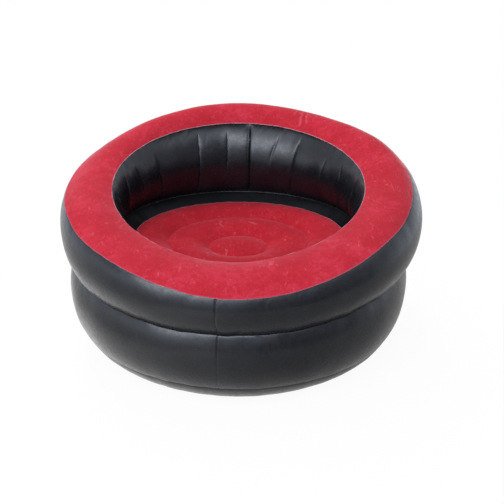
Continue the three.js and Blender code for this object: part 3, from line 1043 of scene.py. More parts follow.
@dataclass
class Panel:
    """One sheet of film swept round the chair.

    A subclass gives the cross-section line, which has the outside of the chair on its left. A lapped
    strip's columns stand closest at its lap, whose width and rise are lengths along it.
    """

    closest: ClassVar[float] = 0.0012
    lap_width: ClassVar[float] = 10.0
    lap_gap: ClassVar[float] = 0.25
    lap_rise: ClassVar[float] = 3.2
    lap_columns: ClassVar[tuple[float, ...]] = (3.6, 2.7, 1.8, 0.9)
    lap_clear: ClassVar[float] = 0.002
    overlap_columns: ClassVar[int] = 7
    angle_digits: ClassVar[int] = 5
    hold: ClassVar[float] = 7.0

    node: str = ""
    kind: Kind = Kind.BLACK
    thickness: float = FILM
    columns: int = 720
    steps: int = 40
    lap: float | None = None
    fill: float | None = 1.0
    start_fin: bool = True
    end_fin: bool = True
    relief: tuple[Relief, ...] = ()

    def section(self, angle: Array) -> Array:
        """Return the cross-section lines, as (angle, step, radius and height)."""
        raise NotImplementedError

    def angles(self) -> Array:
        """Return the angles of the columns: even, with more where a fold is narrow.

        A lapped strip starts at its lap and runs on past one turn, and tucks under its own start.
        """
        even = np.arange(self.columns) * TURN / self.columns
        extra = [fold.columns() for fold in self.relief if isinstance(fold, Fold)]
        every = np.unique(np.round(np.concatenate([even, *extra]) % TURN, self.angle_digits))
        every = every[np.concatenate(([True], np.diff(every) > self.closest))]
        if self.lap is None:
            return every
        start = math.radians(self.lap)
        turned = np.sort((every - start) % TURN) + start
        overlap = start + TURN + np.linspace(0.0, self.lap_width, self.overlap_columns) / GROOVE_RADIUS
        step = start + TURN - np.array(self.lap_columns) / GROOVE_RADIUS
        turned = turned[(turned > start + self.lap_clear) & (turned < step[0] - self.lap_clear)]
        return np.concatenate(([start], turned, step, overlap))

    def tuck(self, angle: Array) -> Array:
        """Return how far a lapped strip lies inside its own start: a smooth step at the lap."""
        if self.lap is None:
            return np.zeros_like(angle)
        past = (angle - math.radians(self.lap) - TURN) * GROOVE_RADIUS
        return -(self.thickness + self.lap_gap) * smooth_step(-self.lap_rise, 0.0, past)

    def patch(self, angle: Array) -> Patch:
        """Measure the smooth panel for the relief.

        Args:
            angle: Angles of the columns.

        Returns:
            The panel's lines, with the distances from its two edges along each line.
        """
        rows = self.section(angle)
        body = slice(1 if self.start_fin else 0, -1 if self.end_fin else None)
        between = rows[:, body]
        length = np.linalg.norm(np.diff(between, axis=1), axis=-1)
        from_start = np.concatenate((np.zeros((len(angle), 1)), np.cumsum(length, axis=1)), axis=1)
        share = from_start[0] / from_start[0, -1]
        return Patch(angle, rows, body, share, from_start, from_start[:, -1:] - from_start)

    def shape(self, angle: Array) -> tuple[Array, Array]:
        """Work out the dented outer face. Folds and waves fade out where the welds hold the film.

        Args:
            angle: Angles of the columns.

        Returns:
            The cross-section lines of the outer face, and each point's distance from the nearest edge.
        """
        patch = self.patch(angle)
        moved = np.zeros(patch.rows.shape[:2])
        nearest = np.minimum(patch.from_start, patch.from_end)
        free = 1 - bell(nearest / self.hold)
        for dent in self.relief:
            moved[:, patch.body] += dent.field(patch) * (1.0 if isinstance(dent, Gathers) else free)
        moved[:, patch.body] *= self.calm(patch)
        rows = shifted(patch.rows, moved)
        rows = shifted(rows, np.broadcast_to(self.tuck(angle)[:, None] + self.thickness / 2, moved.shape))
        edge = np.zeros_like(moved)
        edge[:, patch.body] = nearest
        return rows, edge

    def calm(self, patch: Patch) -> Array:
        """Return how much of the relief is kept at each point, which is all of it here."""
        return np.ones_like(patch.from_start)

    def grid(self) -> Grid:
        """Return the outer face as a net of points in space."""
        angle = self.angles()
        rows, edge = self.shape(angle)
        return Grid(turned(rows, angle), self.lap is None, edge)

    def stock(self, finishes: Finishes) -> Material:
        """Return the material of the film that the panel is cut from."""
        return {Kind.FLOCK: finishes.flock, Kind.BLACK: finishes.black, Kind.GREY: finishes.grey}[self.kind]

    def build(self, finishes: Finishes) -> None:
        """Make the panel's piece, which replaces its CAD node, in one of the chair's materials."""
        obj = self.grid().mesh(f"{self.node}_skin")
        tidy_mesh(obj)
        thicken(obj, self.thickness)
        dress(obj, self.stock(finishes))
        register(obj, BODY, (self.node,))


def turned(rows: Array, angle: Array) -> Array:
    """Place cross-section lines at their angles round the chair: x = r·cos(a), y = r·sin(a), z = height."""
    radius, height = rows[..., 0], rows[..., 1]
    return np.stack((radius * np.cos(angle)[:, None], radius * np.sin(angle)[:, None], height), axis=-1)


def register(
    obj: bpy.types.Object, body: str, nodes: tuple[str, ...] = ()
) -> None:
    """Attach a piece to the body it moves with, hide the CAD nodes it stands for, and log it.

    Args:
        obj: The piece.
        body: The body it moves with.
        nodes: The CAD nodes it stands for.
    """
    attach(obj, body)
    if nodes:
        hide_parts(*nodes)
    log.info("%s: %d faces, on %s", obj.name, len(obj.data.polygons), body)


def with_fins(start: Array | None, line: Array, end: Array | None) -> Array:
    """Join a cross-section line to the tips of its weld fins.

    Args:
        start: Fin tips before the line, if it has them.
        line: The line between its two edges.
        end: Fin tips after the line, if it has them.

    Returns:
        The joined line.
    """
    parts = [line]
    if start is not None:
        parts.insert(0, start[:, None])
    if end is not None:
        parts.append(end[:, None])
    return np.concatenate(parts, axis=1)


@dataclass(frozen=True)
class ValveSpot:
    """Where a valve sits: the outside of the film at its middle, and the way out of the chair."""

    radius: float
    height: float
    out_radius: float
    out_height: float

    @property
    def centre(self) -> Array:
        """Middle of the valve, at the outside of the film."""
        return np.array((0.0, self.radius, self.height))

    @property
    def out(self) -> Array:
        """Direction out of the chair."""
        return np.array((0.0, self.out_radius, self.out_height))


UPPER_VALVE = ValveSpot(412.8938476317757, 351.3382055570576, 0.9241061508465399, -0.3821358684651207)
BASE_VALVE = ValveSpot(411.0000850922847, 194.69302764216172, 0.9995633210839445, -0.029549401747500908)


@dataclass(frozen=True)
class Layer:
    """A film's place in a weld, so far up from the weld's middle."""

    weld: Weld
    up: float


@dataclass
class Strip(Panel):
    """A sheet that the air swells between two welds. A subclass gives its welds and its peak.

    Roundness is the power of the swelling's bulge, up to 1 for a round one.
    """

    first: ClassVar[Layer]
    last: ClassVar[Layer]
    roundness: ClassVar[float] = 0.8

    def peak(self, angle: Array, start: Array, end: Array) -> Array:
        """Return the peak of the swelling, from the strip's start and end points."""
        raise NotImplementedError

    def fullness(self, angle: Array) -> Array | float:
        """Return the power of the swelling's bulge, which is the same all round here."""
        return self.roundness

    def section(self, angle: Array) -> Array:
        """Run from the first weld over the peak to the last, with a fin at both."""
        seams = PLAN.at(angle)
        first, last = seams[self.first.weld], seams[self.last.weld]
        start, end = first.edge(self.first.up), last.edge(self.last.up)
        line = swelling(start, end, self.peak(angle, start, end), self.steps, self.fullness(angle))
        return with_fins(first.tip(self.first.up), line, last.tip(self.last.up))


@dataclass
class ValveWall(Strip):
    """An outer wall, kept plain round its valve and pierced for it."""

    spot: ClassVar[ValveSpot]

    def calm(self, patch: Patch) -> Array:
        """Return a share that falls to nothing at the valve: 1 - exp(-(distance / plain reach)²)."""
        rows = patch.rows[:, patch.body]
        around = wrapped(patch.angle - BACK)[:, None] * patch.radius
        up, out = rows[..., 1] - self.spot.height, rows[..., 0] - self.spot.radius
        return 1 - bell(np.sqrt(around**2 + up**2 + out**2) / PLAIN_REACH)

    def grid(self) -> Grid:
        """Return the wall with the valve's hole."""
        grid = super().grid()
        grid.pierce(self.spot.centre, self.spot.out, HOLE_RADIUS, HOLE_REACH)
        return grid


class UpperOuterWall(ValveWall):
    """The black strip round the outside of the upper ring, which swells to the chair's full radius.

    The ring is thin at the front, so there it swells less: peak radius = full - slack depth·slackness.
    """

    first = Layer(Weld.OUTER, -MIXED_LAYERS)
    last = Layer(Weld.CREASE, THREE_LAYERS)
    spot = UPPER_VALVE
    slack_roundness = 0.2

    def peak(self, angle: Array, start: Array, end: Array) -> Array:
        """Return the full radius, shifted and slackened, at half height."""
        flatter = SLACK_DEPTH * slackness(angle)
        radius = OVERALL_RADIUS - FILM / 2 + UPPER_WALL_SHIFT * np.cos(angle) - flatter
        return points(radius, middle(start, end)[:, 1])

    def fullness(self, angle: Array) -> Array:
        """Return a power that rises to 1 where the wall is slack."""
        return self.roundness + self.slack_roundness * slackness(angle)


class LowerOuterWall(ValveWall):
    """The black strip round the base."""

    first = Layer(Weld.CREASE, -THREE_LAYERS)
    last = Layer(Weld.BASE, TWO_LAYERS)
    spot = BASE_VALVE
    roundness = 0.92

    def peak(self, angle: Array, start: Array, end: Array) -> Array:
        """Return the base's full radius at half height."""
        return points(LOWER_WALL_RADIUS - FILM / 2, middle(start, end)[:, 1])


class TopPanel(Strip):
    """The domed red ring on top."""

    first = Layer(Weld.INNER, MIXED_LAYERS)
    last = Layer(Weld.OUTER, MIXED_LAYERS)
    roundness = 1.0

    def peak(self, angle: Array, start: Array, end: Array) -> Array:
        """Return the crown."""
        return PLAN.crown.at(angle)


class UpperInnerWall(Strip):
    """The black strip round the inside of the upper ring, creased by its lap and its baffles."""

    first = Layer(Weld.GROOVE, THREE_LAYERS)
    last = Layer(Weld.INNER, -MIXED_LAYERS)
    swell_share = 0.17

    def peak(self, angle: Array, start: Array, end: Array) -> Array:
        """Return a peak that lies inside the tub by a share of the wall's width."""
        reach = np.linalg.norm(end - start, axis=-1) * self.swell_share
        return middle(start, end) - points(reach, np.zeros_like(reach))


class SeatBorder(Strip):
    """The narrow black ring between the inner wall's weld and the red seat."""

    first = Layer(Weld.SEAT, MIXED_LAYERS)
    last = Layer(Weld.GROOVE, -THREE_LAYERS)
    rise = (0.0, 1.0)
    roundness = 1.0

    def peak(self, angle: Array, start: Array, end: Array) -> Array:
        """Return a peak just above the middle."""
        return middle(start, end) + np.array(self.rise)

    def stock(self, finishes: Finishes) -> Material:
        """Return the darker, less glossy copy of the film, whose darker colour is painted shade."""
        return finishes.black_shaded_border


@dataclass(frozen=True)
class Channel:
    """A round weld line that holds the seat down."""

    radius: float
    height: float


OUTER_CHANNEL = Channel(SEAT_RADIUS * 0.677, 242.7)
INNER_CHANNEL = Channel(SEAT_RADIUS * 0.2868, 224.7)


class SeatPanel(Panel):
    """The red seat: an outer zone, a middle zone and a centre disc between two round channels.

    Crowns are how far the disc, the middle zone and the outer zone rise above their edges. The channels
    stray a little: seed, fewest and most waves, and size.
    """

    crowns = (9.0, 8.5, 10.0)
    disc_fullness = 0.8
    zone_fullness = 0.95
    stray = (21, 6, 40, 0.35)

    def section(self, angle: Array) -> Array:
        """Run from the centre outwards over three crowned zones to the seat's edge."""
        seat = PLAN.at(angle)[Weld.SEAT]
        ones = np.ones_like(angle)
        shift = harmonics(angle, *self.stray)
        inner = points(INNER_CHANNEL.radius * ones + shift, INNER_CHANNEL.height)
        outer = points(OUTER_CHANNEL.radius * ones + shift, OUTER_CHANNEL.height)
        rim = seat.edge(-MIXED_LAYERS)
        steps = self.steps // 3
        share = np.linspace(0, 1, steps + 1)
        dome = INNER_CHANNEL.height + self.crowns[0] * (1 - share**2) ** self.disc_fullness * ones[:, None]
        line = [np.stack((share * inner[:, :1], dome), axis=-1)]
        for first, last, crown in ((inner, outer, self.crowns[1]), (outer, rim, self.crowns[2])):
            peak = middle(first, last) + np.array((0.0, crown))
            line.append(swelling(first, last, peak, steps, self.zone_fullness)[:, 1:])
        return with_fins(None, np.concatenate(line, axis=1), seat.tip(-MIXED_LAYERS))

    def stock(self, finishes: Finishes) -> Material:
        """Return the seat's copy of the flocked film, darker as painted shade and with little sheen."""
        return finishes.shaded_seat_flock


class Underside(Panel):
    """The black underside: flat on the floor, with a rounded edge up to the base seam."""

    edge_bulge = (10.0, -9.0)
    floor_steps = 9

    def section(self, angle: Array) -> Array:
        """Run from the base seam round the edge and in to the centre."""
        base = PLAN.at(angle)[Weld.BASE]
        end = base.edge(-TWO_LAYERS)
        flat = points(CONTACT_RADIUS * np.ones_like(angle), FILM / 2)
        line = swelling(end, flat, middle(flat, end) + np.array(self.edge_bulge), self.steps)
        floor = points(np.linspace(1, 0, self.floor_steps)[1:] * CONTACT_RADIUS, FILM / 2)
        disc = np.broadcast_to(floor, (len(angle), *floor.shape))
        return with_fins(base.tip(-TWO_LAYERS), np.concatenate((line, disc), axis=1), None)


class Partition(Panel):
    """The film between the upper ring and the base, which closes both air chambers."""

    rise = 2.0

    def section(self, angle: Array) -> Array:
        """Run from the groove outwards to the crease, with the upper chamber on its left."""
        seams = PLAN.at(angle)
        start, end = seams[Weld.CREASE].at, seams[Weld.GROOVE].at
        share = np.linspace(0, 1, self.steps + 1)
        line = start[:, None] + (end - start)[:, None] * share[:, None]
        line[..., 1] += self.rise * np.sin(share * math.pi) ** 2
        return line[:, ::-1]


# Angle at the foot, lean to the top, depth, width, and the shares of the height where it ends
INNER_WALL_FOLDS = (
    Fold(86.1, -0.1, 6.5, 6.5, -0.2, 1.0, bend=-0.4),
    Fold(99.9, -1.2, 3.4, 5.5, 0.42, 0.82),
    Fold(117.2, -1.6, 3.8, 6.0, 0.12, 0.84),
    Fold(79.6, -12.8, 2.6, 4.5, 0.54, 0.8),
    Fold(61.3, -6.6, 4.4, 6.0, 0.04, 0.84),
    Fold(40.3, -6.0, 2.4, 5.0, 0.44, 0.78),
    Fold(140.6, 6.3, 3.4, 6.0, 0.06, 0.76),
    Fold(155.2, 8.0, 2.8, 5.0, 0.42, 0.74),
    Fold(15.0, 10.0, 1.5, 4.5, 0.58, 0.76),
    Fold(2.0, 2.0, 2.6, 6.0, 0.2, 0.7),
    Fold(-14.0, 0.6, 2.2, 6.0, 0.3, 0.8),
    Fold(175.0, -2.0, 2.6, 6.0, 0.25, 0.75),
    Fold(192.0, 1.0, 2.6, 6.0, 0.2, 0.85),
    Fold(213.0, -1.0, 2.4, 6.0, 0.2, 0.85),
    Fold(231.0, 0.8, 3.0, 6.0, 0.15, 0.9),
    Fold(252.0, -0.6, 2.4, 6.0, 0.2, 0.85),
    Fold(270.0, 0.4, 3.0, 6.0, 0.15, 0.9),
    Fold(291.0, 0.8, 2.4, 6.0, 0.2, 0.85),
    Fold(310.0, -0.6, 3.0, 6.0, 0.15, 0.9),
    Fold(329.0, 0.6, 2.4, 6.0, 0.2, 0.85),
)


# Gathers have how many, the start of the random draws, depth, width and reach. Waves have start and size
TOP_RELIEF = (
    Gathers(Edge.START, 70, 31, 0.6, 7.0, 9.0),
    Gathers(Edge.END, 96, 32, 0.5, 7.0, 8.0),
    Waves(33, 0.25),
)
UPPER_OUTER_RELIEF = (
    Gathers(Edge.START, 88, 41, 0.5, 6.0, 8.0),
    Gathers(Edge.END, 110, 42, 0.7, 6.0, 9.0),
    Waves(43, 0.35),
)
UPPER_INNER_RELIEF = (
    *INNER_WALL_FOLDS,
    Gathers(Edge.START, 64, 51, 1.1, 6.0, 9.0),
    Gathers(Edge.END, 60, 52, 1.2, 6.0, 11.0),
    Waves(53, 0.7),
)
LOWER_OUTER_RELIEF = (
    Gathers(Edge.START, 100, 61, 0.45, 6.0, 9.0),
    Gathers(Edge.END, 120, 62, 0.4, 5.0, 8.0),
    Waves(63, 0.35),
)
BORDER_RELIEF = (Gathers(Edge.END, 80, 71, 0.6, 5.0, 6.0),)
SEAT_RELIEF = (Gathers(Edge.END, 90, 81, 0.7, 6.0, 9.0),)
UNDERSIDE_RELIEF = (Gathers(Edge.START, 110, 91, 0.6, 5.0, 8.0),)


@dataclass
class Skins:
    """All the film panels of the chair."""

    finishes: Finishes

    def panels(self) -> list[Panel]:
        """Return the panels, each with its size, its lap's angle in degrees and its relief."""
        return [
            TopPanel("top_panel", Kind.FLOCK, FLOCKED_FILM, relief=TOP_RELIEF),
            UpperOuterWall("upper_outer_wall", lap=266.5, relief=UPPER_OUTER_RELIEF),
            UpperInnerWall("upper_inner_wall", lap=86.9, steps=36, relief=UPPER_INNER_RELIEF),
            LowerOuterWall("lower_outer_wall", lap=266.8, relief=LOWER_OUTER_RELIEF),
            SeatBorder("seat_border", steps=12, relief=BORDER_RELIEF),
            SeatPanel(
                "seat_panel", Kind.FLOCK, FLOCKED_FILM,
                columns=540, steps=66, start_fin=False, relief=SEAT_RELIEF,
            ),
            Underside("bottom_panel", columns=540, steps=18, end_fin=False, relief=UNDERSIDE_RELIEF),
            Partition(
                "ring_partition", Kind.GREY, columns=360, steps=24, fill=None, start_fin=False, end_fin=False
            ),
        ]

    def build(self) -> dict[str, Panel]:
        """Make every panel's piece, and return the panels by node."""
        made = {panel.node: panel for panel in self.panels()}
        for panel in made.values():
            panel.build(self.finishes)
        return made


# Weld beads


@dataclass
class Bead:
    """The fused edge that shows as a fine line along a weld.

    Its section is an ellipse carried along the seam, pushed out against the seam's fin. Ragged is how
    much its size varies.
    """

    ragged_waves: ClassVar[tuple[int, int]] = (12, 90)

    name: str
    weld: Weld
    width: float
    height: float
    out: float
    kind: Kind
    seed: int
    ragged: float = 0.15
    columns: int = 720
    sides: int = 8

    def build(self, material: Material) -> None:
        """Make the bead's piece in a material.

        Point = seam - fin·(out + height·cos(b)) + up·width·sin(b), with the width varied round the chair.
        """
        angle = np.arange(self.columns) * TURN / self.columns
        seam = PLAN.at(angle)[self.weld]
        around = np.linspace(0, TURN, self.sides + 1)
        swing = 1 + harmonics(angle, self.seed, *self.ragged_waves, self.ragged)
        across = np.multiply.outer(self.width / 2 * swing, np.sin(around))
        outwards = self.out + np.multiply.outer(self.height / 2 * swing, np.cos(around))
        rows = seam.at[:, None] - seam.fin[:, None] * outwards[..., None]
        rows = rows + seam.up[:, None] * across[..., None]
        obj = Grid(turned(rows, angle), True).mesh(self.name)
        tidy_mesh(obj, SHARP_BEAD)
        recalculate(obj)
        dress(obj, material)
        register(obj, BODY)


BEADS = (
    Bead("top_outer_weld_bead", Weld.OUTER, 1.2, 0.9, 0.0, Kind.FLOCK, 101),
    Bead("top_inner_weld_bead", Weld.INNER, 1.8, 1.5, 0.0, Kind.FLOCK, 102),
    Bead("seat_weld_bead", Weld.SEAT, 1.5, 1.1, 0.0, Kind.FLOCK, 103),
    Bead("groove_weld_bead", Weld.GROOVE, 2.4, 1.6, 0.2, Kind.BLACK, 104),
    Bead("crease_weld_bead", Weld.CREASE, 1.6, 1.0, -0.2, Kind.BLACK, 105, 0.1),
    Bead("base_weld_bead", Weld.BASE, 1.4, 1.2, -0.8, Kind.BLACK, 106, 0.06),
)


@dataclass
class Beads:
    """The weld beads at every seam that shows."""

    finishes: Finishes

    def build(self) -> None:
        """Make the beads, red where flocked film is welded."""
        for bead in BEADS:
            bead.build(self.finishes.red_bead_with_highlight if bead.kind is Kind.FLOCK else self.finishes.black_bead)


# Baffles


@dataclass
class Baffles:
    """Radial sheets that tie the upper ring's inner and outer walls together.

    Low and high are shares of the way across the walls, tab is the width of the welded tabs, and bow is
    how far a sheet bends to both sides on its way.
    """

    finishes: Finishes
    inner: Panel
    outer: Panel
    count: int = 9
    start: float = 270.0
    low: float = 0.33
    high: float = 0.67
    tab: float = 8.0
    bow: float = 3.0
    rows: int = 10
    steps: int = 16

    def build(self) -> None:
        """Make all the baffles."""
        for number in range(self.count):
            self.build_one(number + 1, math.radians(self.start + number * 360 / self.count))

    def wall_line(self, panel: Panel, angle: float, low: float, high: float) -> Array:
        """Return a stretch of a wall's inside at one angle, a weld gap clear of the film.

        Args:
            panel: The wall.
            angle: Where it is cut.
            low: Share of the way across the wall where the stretch starts.
            high: Share where it ends.

        Returns:
            One (radius, height) pair for each row, in the wall's own direction.
        """
        rows, _ = panel.shape(np.array([angle]))
        rows = shifted(rows, np.full(rows.shape[:2], -(panel.thickness + WELD_GAP + FILM / 2)))[:, 1:-1]
        share = np.linspace(0, 1, rows.shape[1])
        wanted = np.linspace(low, high, self.rows)
        return np.stack([np.interp(wanted, share, rows[0, :, axis]) for axis in (0, 1)], axis=-1)

    def build_one(self, number: int, angle: float) -> None:
        """Make one baffle: a flat web between two walls, with a tab turned along each wall.

        Args:
            number: The baffle's number.
            angle: Where it stands.
        """
        inner = self.wall_line(self.inner, angle, self.low, self.high)
        outer = self.wall_line(self.outer, angle, self.high, self.low)
        across = np.linspace(0, 1, self.steps + 1)
        web = inner[None] + (outer - inner)[None] * across[:, None, None]
        rows = np.concatenate((web[:1], web, web[-1:]))
        tab = np.full((1, self.rows), self.tab)
        side = np.concatenate((tab, self.bow * np.sin(across * TURN)[:, None] * np.ones(self.rows), tab))
        radial = np.array((math.cos(angle), math.sin(angle), 0.0))
        along = np.array((-math.sin(angle), math.cos(angle), 0.0))
        up = np.array((0.0, 0.0, 1.0))
        places = rows[..., :1] * radial + rows[..., 1:] * up + side[..., None] * along
        obj = Grid(places, False).mesh(f"upper_baffle_{number}_web")
        tidy_mesh(obj)
        thicken(obj, FILM, 0.0)
        dress(obj, self.finishes.grey)
        register(obj, BODY, (f"upper_baffle_{number}",))


# Valves


@dataclass(frozen=True)
class Strap:
    """A valve's tether: a flat strap that leaves the lip, bends back on itself and meets the head.

    Out are the distances from the valve's axis along its lower run, and back along its upper run. It is
    narrowest at the waist.
    """

    out: tuple[float, ...] = (13.3, 15.5, 18.0)
    back: tuple[float, ...] = (18.0, 14.0, 9.3)
    turn: float = 20.3
    low: float = 1.1
    high: float = 3.0
    half_width: float = 2.0
    half_thickness: float = 0.45
    waist: float = 0.5
    waist_at: float = 17.0
    waist_reach: float = 3.0
    bend_steps: int = 14

    def sections(self) -> tuple[Array, Array]:
        """Work out the strap's rectangular sections along two straights and a half circle.

        Half width = full - waist·exp(-((distance - waist place) / reach)²).

        Returns:
            The (distance, height) pairs of each section's corners, and their places across the strap.
        """
        bend = np.linspace(-math.pi / 2, math.pi / 2, self.bend_steps + 1)
        radius, centre = (self.high - self.low) / 2, (self.high + self.low) / 2
        half_circle = np.stack((self.turn + radius * np.cos(bend), centre + radius * np.sin(bend)), axis=-1)
        straights = [points(np.array(self.out), self.low), points(np.array(self.back), self.high)]
        path = np.concatenate((straights[0], half_circle, straights[1]))
        normal = turn_left(unit(np.gradient(path, axis=0)))
        width = self.half_width - self.waist * bell((path[:, 0] - self.waist_at) / self.waist_reach)
        corners = np.array(((-1, -1), (1, -1), (1, 1), (-1, 1), (-1, -1)), float)
        flat = path[:, None] + normal[:, None] * corners[None, :, 1:] * self.half_thickness
        return flat, width[:, None] * corners[None, :, 0]


# The plug's outline from the tip of its lead, over the snap ring and the head's rim, to the knob
PLUG_OUTLINE = (
    (0.0, -11.8), (3.5, -11.8), (4.3, -10.6), (4.45, -9.0), (4.7, -8.4), (4.7, -7.4), (4.45, -6.8),
    (4.5, 2.2), (8.6, 2.2), (9.0, 2.6), (9.0, 3.3), (8.4, 3.8), (7.2, 3.8), (6.6, 3.4), (4.6, 3.4),
    (3.9, 3.9), (3.6, 4.9), (2.9, 5.5), (0.0, 5.6),
)


@dataclass
class Valve:
    """A push-in valve: a moulded seat through the wall, a plug, a tether and a check flap.

    Its own axis points out of the chair from the outside of the film.
    """

    name: str
    spot: ValveSpot
    plug_body: str
    finishes: Finishes
    bore: float = 5.0
    neck: float = 7.5
    lip: float = 13.0
    lip_top: float = 1.9
    flange: float = 18.0
    stem_end: float = -20.1
    sides: int = 64
    strap: Strap = Strap()
    seat_rounding: float = 0.18
    plug_rounding: float = 0.15
    strap_rounding: float = 0.2

    @property
    def axes(self) -> tuple[Array, Array, Array]:
        """The way out of the chair, the way to the chair's right, and the way square to both."""
        out, side = self.spot.out, np.array((1.0, 0.0, 0.0))
        return out, side, np.cross(out, side)

    def finish(self, obj: bpy.types.Object, node: str, body: str, rounding: float) -> None:
        """Round, dress and register a piece that stands for one of the valve's CAD nodes.

        Args:
            obj: The piece.
            node: Last word of the CAD node's name.
            body: The body that it moves with.
            rounding: How far its edges are rounded, in millimetres.
        """
        recalculate(obj)
        round_edges(obj, rounding)
        dress(obj, self.finishes.valve)
        register(obj, body, (f"{self.name}_{node}",))

    def lathe(self, name: str, outline: Sequence[tuple[float, float]]) -> bpy.types.Object:
        """Turn an outline round the valve's axis.

        Point = centre + out·height + radius·(side·cos(b) + third·sin(b)).

        Args:
            name: Name of the piece.
            outline: Closed line of (radius, height) pairs.

        Returns:
            The turned mesh object.
        """
        out, side, third = self.axes
        line = np.array([*outline, outline[0]])
        around = np.arange(self.sides) * TURN / self.sides
        ring = np.multiply.outer(np.cos(around), side) + np.multiply.outer(np.sin(around), third)
        places = self.spot.centre + ring[:, None] * line[None, :, :1] + line[None, :, 1:] * out
        obj = Grid(places, True).mesh(name)
        tidy_mesh(obj, SHARP_MOULDING)
        return obj

    def build_seat(self) -> None:
        """Make the seat: lip with a raised rim, neck, flange under the film and stem."""
        outline = [
            (self.bore, self.lip_top - 0.2), (self.bore, self.stem_end),
            (self.neck - 0.8, self.stem_end), (self.neck - 0.3, -8.0), (self.neck, -5.2),
            (self.flange - 0.4, -4.5), (self.flange, -3.9), (self.flange, -3.3), (self.neck, -3.3),
            (self.neck, 0.3), (self.lip - 0.3, 0.3), (self.lip, 0.7), (self.lip - 0.5, 1.5),
            (self.lip - 1.6, self.lip_top), (self.lip - 3.2, self.lip_top - 0.35),
            (self.bore + 1.6, self.lip_top - 0.35), (self.bore + 0.8, self.lip_top),
        ]
        obj = self.lathe(f"{self.name}_seat_moulding", outline)
        self.finish(obj, "seat", BODY, self.seat_rounding)

    def build_plug(self) -> None:
        """Make the plug: a shank with a snap ring and a lead, a head with a rim, and a pull knob."""
        obj = self.lathe(f"{self.name}_plug_moulding", PLUG_OUTLINE)
        self.finish(obj, "plug", self.plug_body, self.plug_rounding)

    def build_tether(self) -> None:
        """Make the tether: point = centre + side·distance + out·height + third·place across."""
        out, side, third = self.axes
        flat, across = self.strap.sections()
        places = self.spot.centre + flat[..., :1] * side + flat[..., 1:] * out + across[..., None] * third
        obj = Grid(places, False).mesh(f"{self.name}_tether_strap")
        close_ends(obj)
        self.finish(obj, "tether", BODY, self.strap_rounding)

    def build(self, nodes: dict[str, bpy.types.Object]) -> None:
        """Make the valve's pieces, and finish its CAD flap, which is one of the CAD nodes by name."""
        self.build_seat()
        self.build_plug()
        self.build_tether()
        dress(nodes[f"{self.name}_flap"], self.finishes.valve)
        log.info("%s: CAD flap kept, with its own finish", self.name)


# Studio


@dataclass
class Camera:
    """The camera, at the photograph's place and field of view. Lengths are metres, angles degrees."""

    azimuth: float = 2.329
    elevation: float = 21.774
    roll: float = 0.14
    distance: float = 1.462627
    target_height: float = 0.2
    focal_pixels: float = 579.802
    frame_pixels: float = 504.0
    centre_x: float = 238.28
    centre_y: float = 255.38
    sensor: float = 36.0

    def build(self) -> None:
        """Make the camera and give it to the scene."""
        azimuth, elevation, roll = (math.radians(a) for a in (self.azimuth, self.elevation, self.roll))
        back = Vector(
            (
                math.sin(azimuth) * math.cos(elevation),
                -math.cos(azimuth) * math.cos(elevation),
                math.sin(elevation),
            )
        )
        level = Vector((math.cos(azimuth), math.sin(azimuth), 0.0))
        upright = back.cross(level)
        across = level * math.cos(roll) + upright * math.sin(roll)
        up = back.cross(across)
        data = bpy.data.cameras.new("camera")
        data.sensor_width = self.sensor
        data.lens = self.focal_pixels / self.frame_pixels * self.sensor
        data.shift_x = (self.frame_pixels / 2 - self.centre_x) / self.frame_pixels
        data.shift_y = (self.centre_y - self.frame_pixels / 2) / self.frame_pixels
        camera = bpy.data.objects.new("camera", data)
        bpy.context.scene.collection.objects.link(camera)
        turn = Matrix((across, up, back)).transposed().to_4x4()
        place = Vector((0, 0, self.target_height)) + back * self.distance
        camera.matrix_world = Matrix.Translation(place) @ turn
        bpy.context.scene.camera = camera


@dataclass(frozen=True)
class Softbox:
    """A rectangular studio lamp that looks at a point. Lengths are metres.

    Roll lifts its right end, in degrees. Mirrored says whether it shows in reflections, or only lights.
    """

    name: str
    place: tuple[float, float, float]
    aim: tuple[float, float, float]
    width: float
    height: float
    radiance: float
    colour: str = "ffffff"
    roll: float = 0.0
    mirrored: bool = True

    def build(self) -> None:
        """Make the lamp: power = radiance·pi·area."""
        data = bpy.data.lights.new(self.name, "AREA")
        data.shape = "RECTANGLE"
        data.size, data.size_y = self.width, self.height
        data.energy = self.radiance * math.pi * self.width * self.height
        data.color = linear(self.colour)[:3]
        lamp = bpy.data.objects.new(self.name, data)
        lamp.visible_glossy = self.mirrored
        bpy.context.scene.collection.objects.link(lamp)
        place, aim = Vector(self.place), Vector(self.aim)
        turn = (aim - place).to_track_quat("-Z", "Y").to_matrix().to_4x4()
        roll = Matrix.Rotation(math.radians(self.roll), 4, "Z")
        lamp.matrix_world = Matrix.Translation(place) @ turn @ roll


def seen_rays(tree: Tree) -> Socket:
    """Return 1 for what the camera sees, also through clear pieces, and 0 for what gives light."""
    rays = [tree.add("LightPath", output=f"Is {kind} Ray") for kind in ("Camera", "Transmission")]
    return tree.add("Math", rays, operation="MAXIMUM")


